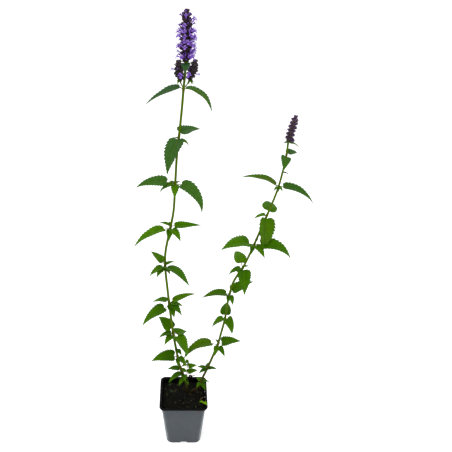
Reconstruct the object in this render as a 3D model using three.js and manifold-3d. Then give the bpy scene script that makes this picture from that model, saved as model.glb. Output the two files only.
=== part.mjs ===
// A young agastache in a square nursery pot. Millimetres, +Z up.
// The origin is the centre of the pot's underside, and -Y is the side that faces the viewer.

import * as THREE from 'three';
import { mergeVertices } from 'three/addons/utils/BufferGeometryUtils.js';
import Module from 'manifold-3d';

const wasm = await Module();
wasm.setup();

// How far one solid runs into or past another where they are joined or cut
const OVERLAP = 1;

// Pot
const POT_HEIGHT = 97;
const POT_BASE_HALF = 32.6;
const POT_TOP_HALF = 41.4;
const RIM_HALF = 45;
const RIM_DEPTH = 1.5;
const RIM_CORNER = 10;
const RIM_ROUND = 0.5;
const SHOULDER_DEPTH = 7.6;
const SHOULDER_STEP = 2.2;
const SHOULDER_SLOPE = 1;
const BASE_CORNER = 11;
const BASE_ROUND = 0.9;
const TOP_CORNER = 8;
const WALL = 1.2;
const CHANNEL_HALF = 8;
const CHANNEL_RISE = 3.6;
const CHANNEL_INNER = 13;
const ARCH_STEPS = 4;
const DRAIN_RADIUS = 3.2;
const DRAIN_REACH = 19;
const LOOP_X = 13.5;
const LOOP_RADIUS = 2.4;
const LOOP_TUBE = 1.6;
const LOOP_INSET = 1.6;
const LOOP_SINK = 0.2;

// Compost
const FIT_GAP = 0.3;
const COMPOST_TOP = 88;
const CRUMB_RELIEF = 1.1;
const COMPOST_CELLS = 9;
const COMPOST_SEED = 41;
const HOLE_SIDES = 8;

// Stems: hand-set points on the centre line, and the reach of the square section's corners
const MAIN_STEM = {
  points: [
    [8, 8.5, 77], [8, 8.5, 90], [5.5, 8, 108], [0.5, 7.5, 131], [-5.5, 7, 152], [-9.5, 6.5, 168],
    [-12, 6, 188], [-17, 5.5, 222], [-21, 5.5, 257], [-24.5, 6, 292], [-28, 6, 333], [-31, 5.5, 372],
    [-30.5, 4, 402], [-25.5, 3, 433], [-19.5, 2, 462], [-15.5, 1.5, 488], [-13, 1, 530],
    [-10.2, 0.5, 577], [-6.5, 0, 611], [-2.5, 0, 650], [0, 0, 680], [2, 0, 700], [3.1, 0, 718.7],
  ],
  base: 2.5,
  top: 1.75,
  steps: 28,
};
const SIDE_STEM = {
  points: [
    [14, 9, 77], [14, 9, 89.5], [17.5, 9.2, 94.5], [27, 10, 100], [32.8, 11, 112], [37.5, 12, 127],
    [44.5, 13, 145], [50.6, 14, 162], [58.8, 15.5, 186], [64, 16.5, 202], [69, 17.5, 226],
    [75.3, 18.5, 259], [79, 19.5, 293], [82.2, 20, 313], [86.5, 20, 333], [95, 20, 352],
    [103.5, 20, 367], [113.8, 20, 394], [120.3, 20, 413], [128.5, 20, 439], [137.3, 20, 465],
    [144.5, 19.5, 488], [152, 19, 515], [157, 18, 544], [160.3, 17, 570], [161.4, 16, 596],
  ],
  base: 2.3,
  top: 1.5,
  steps: 30,
};
const LOW_SHOOT = {
  points: [[10, 18, 77], [10, 18, 88], [8, 18, 112], [6.5, 17.5, 134], [7.5, 17, 155]],
  base: 0.95,
  top: 0.7,
  steps: 6,
};
const SEEDLING = {
  points: [[31, -17, 80], [31, -17, 89], [34, -21.5, 96], [38.6, -27.5, 98.6]],
  base: 0.5,
  top: 0.45,
  steps: 5,
};

// Leaves: height on the stem, turn in plan (0 is +X, 90 is +Y), blade length and width,
// petiole length, then in degrees the lift of the petiole, the droop along the blade and its roll
// about the midrib, and how far the blade bends down from its petiole where that isn't KNEE
const MAIN_LEAVES = [
  [680, 195, 57, 17, 7, 38, 29, -13, 47], [679, 20, 61, 18, 3.4, 20, 71, -29, 27],
  [611, 37, 40, 23, 2.2, 30, 28, 17, 19], [606, -120, 58, 30, 2, -34, 46, 4, -3],
  [529, 178, 52, 19, 13.7, 10, 50, -43, -3], [529, -28, 61, 23, 11, 3.5, 89, 23, 8],
  [455, 5, 45, 14, 6.4, 8, 9, 29, 5], [452, -152, 60, 20, 11.5, 5, 53, -10, -2],
  [379, 136, 32, 18.5, 6.5, 27, 27, 1, -4], [374, -45, 58, 30, 3.4, 2, 44, -15, -7],
  [300, 2, 44, 12.5, 8.6, 36, 38, 33, -2], [297, -153, 51, 26, 10, -12, 45, -6, -6],
  [239, 140, 34, 23, 5.5, 49, 32, -38, 14], [231, -40, 44, 30, 8, -9, 64, -12, 14],
  [231, 39, 28, 26, 5, 0, 20, 0], [180, -170, 45, 25, 7.4, 28, 47, -24, 13],
  [138, -150, 31, 16, 3, 16, 68, 5, 2], [717, -90, 14, 14, 3, 0, 60, 0, 20],
];
const SIDE_LEAVES = [
  [573, 36, 23, 15, 3, 15, 40, 20, 5], [570, -106, 24, 17, 2.6, -20, 68, -19, -5],
  [517, 180, 60, 19, 5.8, 37, 49, -10, 0], [517, -4, 62, 17, 7.3, 6, 61, 26, 6],
  [467, 70, 35, 27, 8, 43, 45, 21, 23], [465, -93, 60, 31, 3.3, -48, 57, -23, 11],
  [411, -154, 57, 33, 10.7, 22, 50, -11, -4], [412, -13, 61, 24, 11.3, 12, 82, 32, -6],
  [365, 101, 38, 23, 11, 26, 51, -4, -4], [365, -87, 45, 27, 4.3, -31, 47, -15, -8],
  [311, -168, 46, 21.5, 6.6, 17, 41, -5, 0], [312, 23, 44, 24, 6, 33, 30, 12],
  [259, 82, 32, 21, 5, 40, 45, -3, 7], [259, -70, 34, 18, 7.9, 13, 109, 24, -4],
  [203, -2, 36, 23, 7.7, 20, 28, 13, -1], [200, 197, 67, 24, 14, 26, 97, -4, 3],
];
// Young leaves from the leaf axils: height, turn, blade length, lift
const MAIN_YOUNG = [
  [606, -16, 17, -5], [529, -166, 26, 0], [529, -92, 23, -14], [455, 172, 18, 40], [452, -97, 20, -18],
  [453, -50, 27, -2], [380, 12, 16, 37], [376, -148, 29, 10], [374, -123, 24, 8], [374, -56, 15, -4],
  [303, 170, 28, 15], [305, 146, 14, 25], [298, -65, 25, -12], [299, -41, 29, 4], [301, -7, 23, 15],
  [236, -166, 25, 12], [231, -127, 25, 10], [181, -34, 23, -14], [180, -86, 15, -20],
  [149, 169, 25, 17], [137, -77, 19, 30], [128, -132, 16, -8],
];
const SIDE_YOUNG = [
  [593, -8, 17, 4], [466, -178, 21, 8], [410, -115, 17, -15], [410, -50, 27, -6],
  [365, -158, 25, 11], [311, -109, 15, -22], [311, -64, 18, -26], [259, -155, 27, 0],
  [200, -114, 19, -23], [199, -50, 22, -8], [146, 178, 18, 36], [146, 78, 14, 34],
  [146, -17, 18, 36], [146, -147, 17, 18], [115, 129, 14, 29], [115, -5, 14, 30],
  [113, -123, 14, 22], [113, -64, 17, 13],
];
const LOW_LEAVES = [[148, -10, 18, 11, 2, 24, 12, 70], [132, 16, 21, 11, 2, 31, 51, 43, 11]];
const LOW_YOUNG = [[134, 165, 13, 20], [152, -150, 12, 20]];
const SEEDLING_LEAVES = [[98, -48, 9, 7.5, 1.5, 30, 50, 0]];
const SEEDLING_YOUNG = [[98, 160, 7, 20]];
const YOUNG_WIDTH = 0.58;
const YOUNG_PETIOLE = 0.12;
const YOUNG_PETIOLE_FOOT = 1;
const YOUNG_DROOP = 48;
const KNEE = 6;

// Leaf form: a blade's outline rises with one power of its length and falls to its tip with another
const OUTLINE_SCALE = 2.411;
const BASE_POWER = 0.36;
const TIP_POWER = 1.35;
const FIRST_ROW = 0.04;
const ROW_SPAN = 0.95;
const BLADE_THICK = 0.7;
const FOLD = 20;
const TOOTH_DEPTH = 0.09;
const LOBE = 0.34;
const LARGE_TEETH = 5;
const YOUNG_TEETH = 2;
const PETIOLE_HALF = 0.7;
const TIP_HALF = 0.35;
const CURVE_SAMPLES = 8;

// Flower spikes: foot and tip of the axis, rings of calyces and calyces to the widest ring,
// widest radius, calyx length, share of florets open and seed of the draws, and single florets,
// each with its turn in plan and rise in degrees, its reach from the axis and its height
const MAIN_SPIKE = {
  foot: [3.1, 0, 719], tip: [4.8, 0, 789],
  rings: 11, round: 8, wide: 8, calyx: 6.5, open: 0.56, seed: 7, florets: [],
};
const LEFT_SPIKE = {
  foot: [-6, -2, 695.3], tip: [-7, -1.4, 720.8],
  rings: 5, round: 7, wide: 5.2, calyx: 5.2, open: 0, seed: 11,
  florets: [[185, 15, 4, 12], [-80, 5, 4, 5]],
};
const RIGHT_SPIKE = {
  foot: [9.8, -2, 695.4], tip: [17.3, -2, 721.6],
  rings: 5, round: 7, wide: 5.4, calyx: 5.2, open: 0, seed: 13,
  florets: [[-5, 15, 4, 7], [-115, 5, 4, 5]],
};
const BUD_SPIKE = {
  foot: [161.4, 16, 596.3], tip: [169.8, 15.5, 636],
  rings: 7, round: 6, wide: 6.2, calyx: 5.4, open: 0, seed: 17, florets: [],
};
const SPIKE_STALKS = [
  [[0, 0, 681], [-3, -0.8, 687], [-6, -2, 694.8]],
  [[0, 0, 681], [5.2, -1, 687], [9.8, -2, 694.9]],
];
const STALK_RADIUS = 0.95;
const STALK_STEPS = 3;

// Form of a spike: its radius at the foot and where it is widest, as shares, and how it narrows
const FOOT_SHARE = 0.85;
const WIDEST_AT = 0.45;
const NARROWING = 0.62;
const NARROWING_POWER = 3.5;
const CORE_SHARE = 0.75;
const CORE_LEVELS = [0.1, 0.5, 0.85];
const CORE_FOOT = 1.3;
const CORE_TIP = 0.5;
const CORE_END = 0.97;
const CORE_SIDES = 7;

// How calyces stand on a spike: they rise more, and are fewer to a ring, towards the tip
const RING_START = 0.7;
const RING_SPARE = 0.2;
const FEWEST_CALYCES = 4;
const THINNING = 0.4;
const TURN_JITTER = 0.3;
const RISE_AT_FOOT = 22;
const RISE_GAIN = 60;
const RISE_POWER = 2;
const RISE_JITTER = 12;
const ROOT_SHARE = 0.3;
const LONGEST_SHARE = 1.3;
const SINK_SHARE = 0.4;
const FIRST_OPEN = 0.05;
const LAST_OPEN = 0.86;
const CROWDED_TO = 0.52;
const SPARSE_SHARE = 0.45;
const CALYX_FOOT = 0.9;
const CALYX_RADIUS = 1.9;

// Levels of a floret along its tube: distance, half width, and reach of its upper and lower lip
const FLORET_LEVELS = [[0, 0.5, 0.5, -0.5], [6, 1.1, 1, -1], [7.4, 2, 2.2, -3.2]];
const UPPER_LIP_SHARE = 0.6;
const LIP_CURL = 0.3;

// Plain-material colours, roughness and metalness
const SLATE = { color: 0x565a5f, roughness: 0.5, metalness: 0 };
const COMPOST = { color: 0x1d1812, roughness: 1, metalness: 0 };
const LEAF_GREEN = { color: 0x3c7214, roughness: 0.6, metalness: 0 };
const FRESH_GREEN = { color: 0x8fb31c, roughness: 0.6, metalness: 0 };
const SPIKE_PURPLE = { color: 0x4a3566, roughness: 0.7, metalness: 0 };

const radians = THREE.MathUtils.degToRad;
const vector = ([x, y, z]) => new THREE.Vector3(x, y, z);

// A fixed sequence of numbers from 0 to 1, the same on every run
function seededDraw(seed) {
  let state = seed;
  return () => {
    state = (state * 16807) % 2147483647;
    return state / 2147483647;
  };
}

function toSolid(geometry) {
  const bare = geometry.clone();
  bare.deleteAttribute('normal');
  bare.deleteAttribute('uv');
  const merged = mergeVertices(bare);
  const vertProperties = new Float32Array(merged.attributes.position.array);
  const triVerts = new Uint32Array(merged.index.array);
  return new wasm.Manifold(new wasm.Mesh({ numProp: 3, vertProperties, triVerts }));
}

function toGeometry(solid) {
  const mesh = solid.getMesh();
  const geometry = new THREE.BufferGeometry();
  geometry.setAttribute('position', new THREE.BufferAttribute(new Float32Array(mesh.vertProperties), 3));
  geometry.setIndex(new THREE.BufferAttribute(new Uint32Array(mesh.triVerts), 1));
  geometry.computeVertexNormals();
  return geometry;
}

// Joins solids in pairs, so that no join grows larger than it must
function joinAll(solids) {
  let row = solids;
  while (row.length > 1) {
    const next = [];
    for (let i = 0; i < row.length; i += 2) {
      next.push(i + 1 < row.length ? row[i].add(row[i + 1]) : row[i]);
    }
    row = next;
  }
  return row[0];
}

// A closed skin over rings of points, each ring with the same number of points
function loft(rings) {
  const count = rings[0].length;
  const points = rings.flat();
  const faces = [];
  for (let r = 0; r + 1 < rings.length; r += 1) {
    for (let i = 0; i < count; i += 1) {
      const a = r * count + i;
      const b = r * count + ((i + 1) % count);
      faces.push(a, b, b + count, a, b + count, a + count);
    }
  }
  const last = (rings.length - 1) * count;
  for (let i = 1; i + 1 < count; i += 1) {
    faces.push(0, i + 1, i, last, last + i, last + i + 1);
  }
  const geometry = new THREE.BufferGeometry().setFromPoints(points);
  geometry.setIndex(faces);
  return geometry;
}

// Rings of a given radius square to a path, turned no more than the path itself turns
function tube(path, radii, sides) {
  let across = new THREE.Vector3(1, 0, 0);
  const rings = path.map((point, i) => {
    const before = path[Math.max(i - 1, 0)];
    const after = path[Math.min(i + 1, path.length - 1)];
    const along = after.clone().sub(before).normalize();
    across = across.clone().addScaledVector(along, -across.dot(along));
    if (across.length() < 0.1) across = new THREE.Vector3(0, 1, 0).cross(along);
    across.normalize();
    const up = along.clone().cross(across);
    const ring = [];
    for (let s = 0; s < sides; s += 1) {
      const angle = ((s + 0.5) / sides) * 2 * Math.PI;
      const offset = across.clone().multiplyScalar(Math.cos(angle) * radii[i]);
      ring.push(point.clone().add(offset.addScaledVector(up, Math.sin(angle) * radii[i])));
    }
    return ring;
  });
  return loft(rings);
}

// Square outline with rounded corners, counter-clockwise
function roundedSquare(half, corner) {
  const shape = new THREE.Shape();
  const flat = half - corner;
  shape.absarc(flat, flat, corner, 0, Math.PI / 2);
  shape.absarc(-flat, flat, corner, Math.PI / 2, Math.PI);
  shape.absarc(-flat, -flat, corner, Math.PI, 1.5 * Math.PI);
  shape.absarc(flat, -flat, corner, 1.5 * Math.PI, 2 * Math.PI);
  return shape.getPoints(3).slice(0, -1);
}

// Levels of [height, half width, corner radius], joined into one solid
function squareLoft(levels) {
  const rings = levels.map(([z, half, corner]) => {
    const ring = [];
    for (const point of roundedSquare(half, corner)) {
      const last = ring[ring.length - 1];
      if (!last || Math.hypot(point.x - last.x, point.y - last.y) > 0.01) {
        ring.push(new THREE.Vector3(point.x, point.y, z));
      }
    }
    return ring;
  });
  return loft(rings);
}

function potHalf(z) {
  return POT_BASE_HALF + ((POT_TOP_HALF - POT_BASE_HALF) * z) / POT_HEIGHT;
}

// The pot's cavity, drawn in by a gap on every wall
function cavity(floor, top, gap) {
  const inset = WALL + gap;
  return toSolid(squareLoft([
    [floor, potHalf(floor) - inset, BASE_CORNER - WALL],
    [top, potHalf(top) - inset, TOP_CORNER - WALL],
  ]));
}

// Arched drainage channels that run in under the pot from the middle of each side
function channels(extra) {
  const arch = new THREE.Shape();
  arch.moveTo(-CHANNEL_HALF - extra, -OVERLAP);
  arch.lineTo(CHANNEL_HALF + extra, -OVERLAP);
  for (let i = 0; i <= ARCH_STEPS; i += 1) {
    const angle = (Math.PI * i) / ARCH_STEPS;
    arch.lineTo((CHANNEL_HALF + extra) * Math.cos(angle), (CHANNEL_RISE + extra) * Math.sin(angle));
  }
  const length = POT_TOP_HALF - CHANNEL_INNER + extra;
  const one = new THREE.ExtrudeGeometry(arch, { depth: length, bevelEnabled: false });
  one.rotateX(Math.PI / 2);
  one.translate(0, -CHANNEL_INNER + extra, 0);
  const solids = [];
  for (let side = 0; side < 4; side += 1) {
    solids.push(toSolid(one.clone().rotateZ((side * Math.PI) / 2)));
  }
  return joinAll(solids);
}

// An upright rod, for the holes
function upright(radius, low, high, x, y) {
  const geometry = new THREE.CylinderGeometry(radius, radius, high - low, HOLE_SIDES);
  geometry.rotateX(Math.PI / 2);
  geometry.translate(x, y, (low + high) / 2);
  return toSolid(geometry);
}

function loopSolid() {
  const loop = new THREE.TorusGeometry(LOOP_RADIUS, LOOP_TUBE, 4, 10);
  loop.rotateX(Math.PI / 2);
  loop.translate(LOOP_X, RIM_HALF - LOOP_INSET, POT_HEIGHT + LOOP_RADIUS - LOOP_SINK);
  return toSolid(loop);
}

function potSolid() {
  const shoulder = POT_HEIGHT - SHOULDER_DEPTH;
  const wall = potHalf(shoulder);
  const outer = toSolid(squareLoft([
    [0, POT_BASE_HALF - BASE_ROUND, BASE_CORNER - BASE_ROUND],
    [BASE_ROUND, potHalf(BASE_ROUND), BASE_CORNER],
    [shoulder, wall, TOP_CORNER],
    [shoulder + SHOULDER_SLOPE, wall + SHOULDER_STEP, TOP_CORNER + SHOULDER_STEP],
    [POT_HEIGHT - RIM_DEPTH, wall + SHOULDER_STEP, TOP_CORNER + SHOULDER_STEP],
    [POT_HEIGHT - RIM_DEPTH, RIM_HALF - RIM_ROUND, RIM_CORNER - RIM_ROUND],
    [POT_HEIGHT - RIM_ROUND, RIM_HALF, RIM_CORNER],
    [POT_HEIGHT, RIM_HALF - RIM_ROUND, RIM_CORNER - RIM_ROUND],
  ]));
  const inside = cavity(WALL, POT_HEIGHT + OVERLAP, 0).subtract(channels(WALL));
  let pot = outer.subtract(inside).subtract(channels(0));
  for (let side = 0; side < 4; side += 1) {
    const angle = (side * Math.PI) / 2;
    const x = DRAIN_REACH * Math.cos(angle);
    const y = DRAIN_REACH * Math.sin(angle);
    pot = pot.subtract(upright(DRAIN_RADIUS, -OVERLAP, CHANNEL_RISE + 2 * WALL, x, y));
  }
  return pot.add(loopSolid());
}

// Heights of the small lumps of compost above and below its level
function crumbHeights() {
  const draw = seededDraw(COMPOST_SEED);
  const heights = [];
  for (let i = 0; i < (COMPOST_CELLS + 1) ** 2; i += 1) {
    heights.push((2 * draw() - 1) * CRUMB_RELIEF);
  }
  return heights;
}

// A block of compost with an uneven top
function crumbBlock() {
  const heights = crumbHeights();
  const width = 2 * RIM_HALF;
  const block = new THREE.BoxGeometry(width, width, POT_HEIGHT, COMPOST_CELLS, COMPOST_CELLS, 1);
  block.translate(0, 0, COMPOST_TOP - POT_HEIGHT / 2);
  const position = block.attributes.position;
  for (let i = 0; i < position.count; i += 1) {
    if (position.getZ(i) < 0) continue;
    const column = Math.round(((position.getX(i) + RIM_HALF) / width) * COMPOST_CELLS);
    const row = Math.round(((position.getY(i) + RIM_HALF) / width) * COMPOST_CELLS);
    position.setZ(i, COMPOST_TOP + heights[row * (COMPOST_CELLS + 1) + column]);
  }
  return toSolid(block);
}

// The compost fills the pot to just below its rim, with a hole for the foot of each stem
function compostSolid(stems) {
  const fill = cavity(WALL + FIT_GAP, POT_HEIGHT, FIT_GAP).subtract(channels(WALL + FIT_GAP));
  let compost = crumbBlock().intersect(fill);
  for (const stem of stems) {
    const [x, y, z] = stem.points[0];
    compost = compost.subtract(upright(stem.base + 2 * FIT_GAP, z - FIT_GAP, POT_HEIGHT, x, y));
  }
  return compost;
}

function stemCurve(stem) {
  return new THREE.CatmullRomCurve3(stem.points.map(vector), false, 'catmullrom', 0.5);
}

function stemSolid(stem) {
  const path = stemCurve(stem).getPoints(stem.steps);
  const radii = path.map((_, i) => stem.base + ((stem.top - stem.base) * i) / stem.steps);
  return toSolid(tube(path, radii, 4));
}

// The centre of the stem at a height
function stemAt(stem, z) {
  const points = stemCurve(stem).getPoints(stem.points.length * CURVE_SAMPLES);
  let best = points[0];
  for (const point of points) {
    if (Math.abs(point.z - z) < Math.abs(best.z - z)) best = point;
  }
  return best;
}

// A point of a leaf at a reach and rise from its root, with its side and upward directions there
function leafPlace(leaf, out, rise, slope) {
  const turn = radians(leaf.turn);
  const roll = radians(leaf.roll);
  const point = leaf.root.clone().add(vector([out * Math.cos(turn), out * Math.sin(turn), rise]));
  const flatSide = vector([-Math.sin(turn), Math.cos(turn), 0]);
  const flatUp = vector([
    -Math.sin(slope) * Math.cos(turn), -Math.sin(slope) * Math.sin(turn), Math.cos(slope),
  ]);
  const side = flatSide.clone().multiplyScalar(Math.cos(roll)).addScaledVector(flatUp, Math.sin(roll));
  const up = flatUp.clone().multiplyScalar(Math.cos(roll)).addScaledVector(flatSide, -Math.sin(roll));
  return { point, side, up };
}

// Where the midrib of a blade runs at a distance past its base
function midrib(leaf, past) {
  const lift = radians(leaf.lift);
  const start = lift - radians(leaf.knee);
  const bend = radians(leaf.droop) / leaf.blade;
  const slope = start - bend * past;
  const out = leaf.petiole * Math.cos(lift) + (Math.sin(start) - Math.sin(slope)) / bend;
  const rise = leaf.petiole * Math.sin(lift) + (Math.cos(slope) - Math.cos(start)) / bend;
  return leafPlace(leaf, out, rise, slope);
}

// Where a petiole leaves the stem, and where it meets its blade
function petioleEnds(leaf) {
  const lift = radians(leaf.lift);
  const reach = [leaf.petiole * Math.cos(lift), leaf.petiole * Math.sin(lift)];
  return [leafPlace(leaf, 0, 0, lift), leafPlace(leaf, ...reach, lift - radians(leaf.knee) / 2)];
}

// Half the width of a blade, from 0 at its base to 1 at its tip
function bladeHalf(leaf, t) {
  return (leaf.width / 2) * OUTLINE_SCALE * t ** BASE_POWER * (1 - t) ** TIP_POWER;
}

// Rows along a blade, each with its distance past the base, half width and backward reach at its edges
function bladeRows(leaf) {
  const rows = [];
  const steps = 2 * leaf.teeth;
  for (let i = 0; i <= steps; i += 1) {
    const t = FIRST_ROW + (ROW_SPAN * i) / steps;
    const tooth = i % 2 === 1 ? 1 + TOOTH_DEPTH : 1 - TOOTH_DEPTH;
    const half = Math.max(bladeHalf(leaf, t) * tooth, TIP_HALF);
    rows.push({ past: leaf.blade * t, half, back: LOBE * half * (1 - t) ** 3 });
  }
  return rows;
}

// A petiole and a heart-shaped, toothed blade. A large one is folded up along its midrib
function leafGeometry(leaf) {
  const signs = leaf.folded ? [1, 0, -1] : [1, -1];
  const fold = leaf.folded ? radians(FOLD) : 0;
  const top = [];
  const below = [];
  const addPoint = (rib, half, sign) => {
    const spread = half * Math.cos(fold) * sign;
    const raise = half * Math.sin(fold) * Math.abs(sign);
    const point = rib.point.clone().addScaledVector(rib.side, spread).addScaledVector(rib.up, raise);
    top.push(point.clone().addScaledVector(rib.up, BLADE_THICK / 2));
    below.push(point.clone().addScaledVector(rib.up, -BLADE_THICK / 2));
  };
  for (const end of petioleEnds(leaf)) {
    for (const sign of signs) addPoint(end, PETIOLE_HALF, sign);
  }
  for (const { past, half, back } of bladeRows(leaf)) {
    for (const sign of signs) addPoint(midrib(leaf, past - Math.abs(sign) * back), half, sign);
  }
  return slab(top, below, signs.length);
}

// A closed slab between two like grids of points, with a given number of points to a row
function slab(top, below, columns) {
  const under = top.length;
  const rowCount = under / columns;
  const faces = [];
  const pair = (a, b, c) => faces.push(a, b, c, a + under, c + under, b + under);
  for (let row = 0; row + 1 < rowCount; row += 1) {
    for (let column = 0; column + 1 < columns; column += 1) {
      const a = row * columns + column;
      if (column === 0) {
        pair(a, a + 1, a + columns + 1);
        pair(a, a + columns + 1, a + columns);
      } else {
        pair(a, a + 1, a + columns);
        pair(a + 1, a + columns + 1, a + columns);
      }
    }
  }
  const last = columns * (rowCount - 1);
  const edge = [];
  for (let column = 0; column + 1 < columns; column += 1) edge.push(column);
  for (let row = 0; row < rowCount; row += 1) edge.push(row * columns + columns - 1);
  for (let column = columns - 2; column > 0; column -= 1) edge.push(last + column);
  for (let row = rowCount - 1; row > 0; row -= 1) edge.push(row * columns);
  edge.forEach((a, i) => {
    const b = edge[(i + 1) % edge.length];
    faces.push(a, b + under, b, a, a + under, b + under);
  });
  const geometry = new THREE.BufferGeometry().setFromPoints([...top, ...below]);
  geometry.setIndex(faces);
  return geometry;
}

function largeLeaf(stem, [z, turn, blade, width, petiole, lift, droop, roll, knee = KNEE]) {
  const shape = { turn, blade, width, petiole, lift, droop, roll, knee };
  return { ...shape, root: stemAt(stem, z), teeth: LARGE_TEETH, folded: true };
}

function youngLeaf(stem, [z, turn, blade, lift]) {
  const width = YOUNG_WIDTH * blade;
  const petiole = YOUNG_PETIOLE_FOOT + YOUNG_PETIOLE * blade;
  const shape = { turn, blade, width, petiole, lift, droop: YOUNG_DROOP, roll: 0, knee: KNEE };
  return { ...shape, root: stemAt(stem, z), teeth: YOUNG_TEETH, folded: false };
}

// A stem fused with its leaves
function leafyStem(stem, large, young, extra = []) {
  const leaves = [
    ...large.map((row) => largeLeaf(stem, row)),
    ...young.map((row) => youngLeaf(stem, row)),
  ];
  const blades = leaves.map((leaf) => toSolid(leafGeometry(leaf)));
  return toGeometry(joinAll([stemSolid(stem), ...extra, ...blades]));
}

// The stalks that carry the two side spikes
function stalkSolids() {
  return SPIKE_STALKS.map((points) => {
    const path = new THREE.CatmullRomCurve3(points.map(vector)).getPoints(STALK_STEPS);
    return toSolid(tube(path, path.map(() => STALK_RADIUS), 4));
  });
}

// Radius of a flower spike from its foot, 0, to its tip, 1
function spikeRadius(spike, t) {
  const swell = Math.sin((Math.PI / 2) * Math.min(1, t / WIDEST_AT));
  const narrow = 1 - NARROWING * t ** NARROWING_POWER;
  return spike.wide * (FOOT_SHARE + (1 - FOOT_SHARE) * swell) * narrow;
}

// The slim body of a spike along +Z, which joins all its calyces
function coreGeometry(spike, height) {
  const profile = [new THREE.Vector2(0, 0), new THREE.Vector2(CORE_FOOT, 0)];
  for (const t of CORE_LEVELS) {
    profile.push(new THREE.Vector2(CORE_SHARE * spikeRadius(spike, t), t * height));
  }
  profile.push(new THREE.Vector2(CORE_TIP, CORE_END * height), new THREE.Vector2(0, CORE_END * height));
  return new THREE.LatheGeometry(profile, CORE_SIDES).rotateX(Math.PI / 2);
}

// A calyx along +Y, wider at its mouth
function calyxGeometry(length) {
  const path = [0, length].map((y) => vector([0, y, 0]));
  return tube(path, [CALYX_FOOT, CALYX_RADIUS], 3);
}

// A floret along +Y: a flaring tube with a short upper and a long lower lip
function floretGeometry() {
  return loft(FLORET_LEVELS.map(([y, half, high, low]) => [
    vector([-half, y, low]),
    vector([-half * UPPER_LIP_SHARE, y + LIP_CURL, high]),
    vector([half * UPPER_LIP_SHARE, y + LIP_CURL, high]),
    vector([half, y, low]),
  ]));
}

// A placing that turns +Y outwards from the axis of a spike, at a reach from it and at a height
function outwards(turn, rise, reach, level) {
  const place = new THREE.Matrix4();
  place.makeTranslation(Math.cos(turn) * reach, Math.sin(turn) * reach, level);
  place.multiply(new THREE.Matrix4().makeRotationZ(turn - Math.PI / 2));
  return place.multiply(new THREE.Matrix4().makeRotationX(rise));
}

// Where the calyces of a spike stand: the placing, the length and whether a floret is open
function calyxPlaces(spike, height) {
  const draw = seededDraw(spike.seed);
  const places = [];
  for (let ring = 0; ring < spike.rings; ring += 1) {
    const t = (ring + RING_START) / (spike.rings + RING_SPARE);
    const radius = spikeRadius(spike, t);
    const inner = ROOT_SHARE * radius;
    const count = Math.max(FEWEST_CALYCES, Math.round(spike.round * (1 - THINNING * t)));
    for (let i = 0; i < count; i += 1) {
      const turn = ((i + 0.5 * (ring % 2) + TURN_JITTER * draw()) / count) * 2 * Math.PI;
      const rise = radians(RISE_AT_FOOT + RISE_GAIN * t ** RISE_POWER + RISE_JITTER * draw());
      const openShare = t < CROWDED_TO ? spike.open : spike.open * SPARSE_SHARE;
      const open = draw() < openShare && t > FIRST_OPEN && t < LAST_OPEN;
      const length = Math.min(LONGEST_SHARE * spike.calyx, (radius - inner) / Math.cos(rise));
      const level = t * height - SINK_SHARE * length * Math.sin(rise);
      places.push({ place: outwards(turn, rise, inner, level), length, open });
    }
  }
  return places;
}

// A spike: a slim body with rings of calyces that stand out of it and florets in some of them
function flowerSpike(spike) {
  const foot = vector(spike.foot);
  const axis = vector(spike.tip).sub(foot);
  const height = axis.length();
  const solids = [toSolid(coreGeometry(spike, height))];
  for (const { place, length, open } of calyxPlaces(spike, height)) {
    solids.push(toSolid(calyxGeometry(length).applyMatrix4(place)));
    if (!open) continue;
    const floret = floretGeometry().translate(0, length - OVERLAP, 0);
    solids.push(toSolid(floret.applyMatrix4(place)));
  }
  for (const [turn, rise, reach, level] of spike.florets) {
    const place = outwards(radians(turn), radians(rise), reach - OVERLAP, level);
    solids.push(toSolid(floretGeometry().applyMatrix4(place)));
  }
  const lean = new THREE.Quaternion().setFromUnitVectors(vector([0, 0, 1]), axis.normalize());
  return toGeometry(joinAll(solids)).applyQuaternion(lean).translate(foot.x, foot.y, foot.z);
}

function meshOf(name, geometry, look) {
  const mesh = new THREE.Mesh(geometry, new THREE.MeshStandardMaterial(look));
  mesh.name = name;
  return mesh;
}

const stems = [MAIN_STEM, SIDE_STEM, LOW_SHOOT, SEEDLING];
const mainStem = leafyStem(MAIN_STEM, MAIN_LEAVES, MAIN_YOUNG, stalkSolids());
const plant = new THREE.Group();
plant.add(
  meshOf('pot', toGeometry(potSolid()), SLATE),
  meshOf('compost', toGeometry(compostSolid(stems)), COMPOST),
  meshOf('main_leafy_stem', mainStem, LEAF_GREEN),
  meshOf('side_leafy_stem', leafyStem(SIDE_STEM, SIDE_LEAVES, SIDE_YOUNG), LEAF_GREEN),
  meshOf('low_leafy_shoot', leafyStem(LOW_SHOOT, LOW_LEAVES, LOW_YOUNG), LEAF_GREEN),
  meshOf('seedling', leafyStem(SEEDLING, SEEDLING_LEAVES, SEEDLING_YOUNG), FRESH_GREEN),
  meshOf('main_flower_spike', flowerSpike(MAIN_SPIKE), SPIKE_PURPLE),
  meshOf('left_flower_spike', flowerSpike(LEFT_SPIKE), SPIKE_PURPLE),
  meshOf('right_flower_spike', flowerSpike(RIGHT_SPIKE), SPIKE_PURPLE),
  meshOf('bud_spike', flowerSpike(BUD_SPIKE), SPIKE_PURPLE),
);

export default plant;
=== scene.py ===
"""The looks of a young agastache in a square nursery pot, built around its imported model.

Every table and named size is in millimetres, in the frame of the part: the origin is the centre
of the pot's underside, +Z is up and -Y faces the camera. A mesh is scaled to metres when it is
made. Angles in tables are in degrees. Lights, heights in looks and bumps are in metres.
"""

import random
from math import cos, degrees, floor, hypot, pi, radians, sin, sqrt

import bpy
from mathutils import Color, Matrix, Quaternion, Vector, noise


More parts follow.
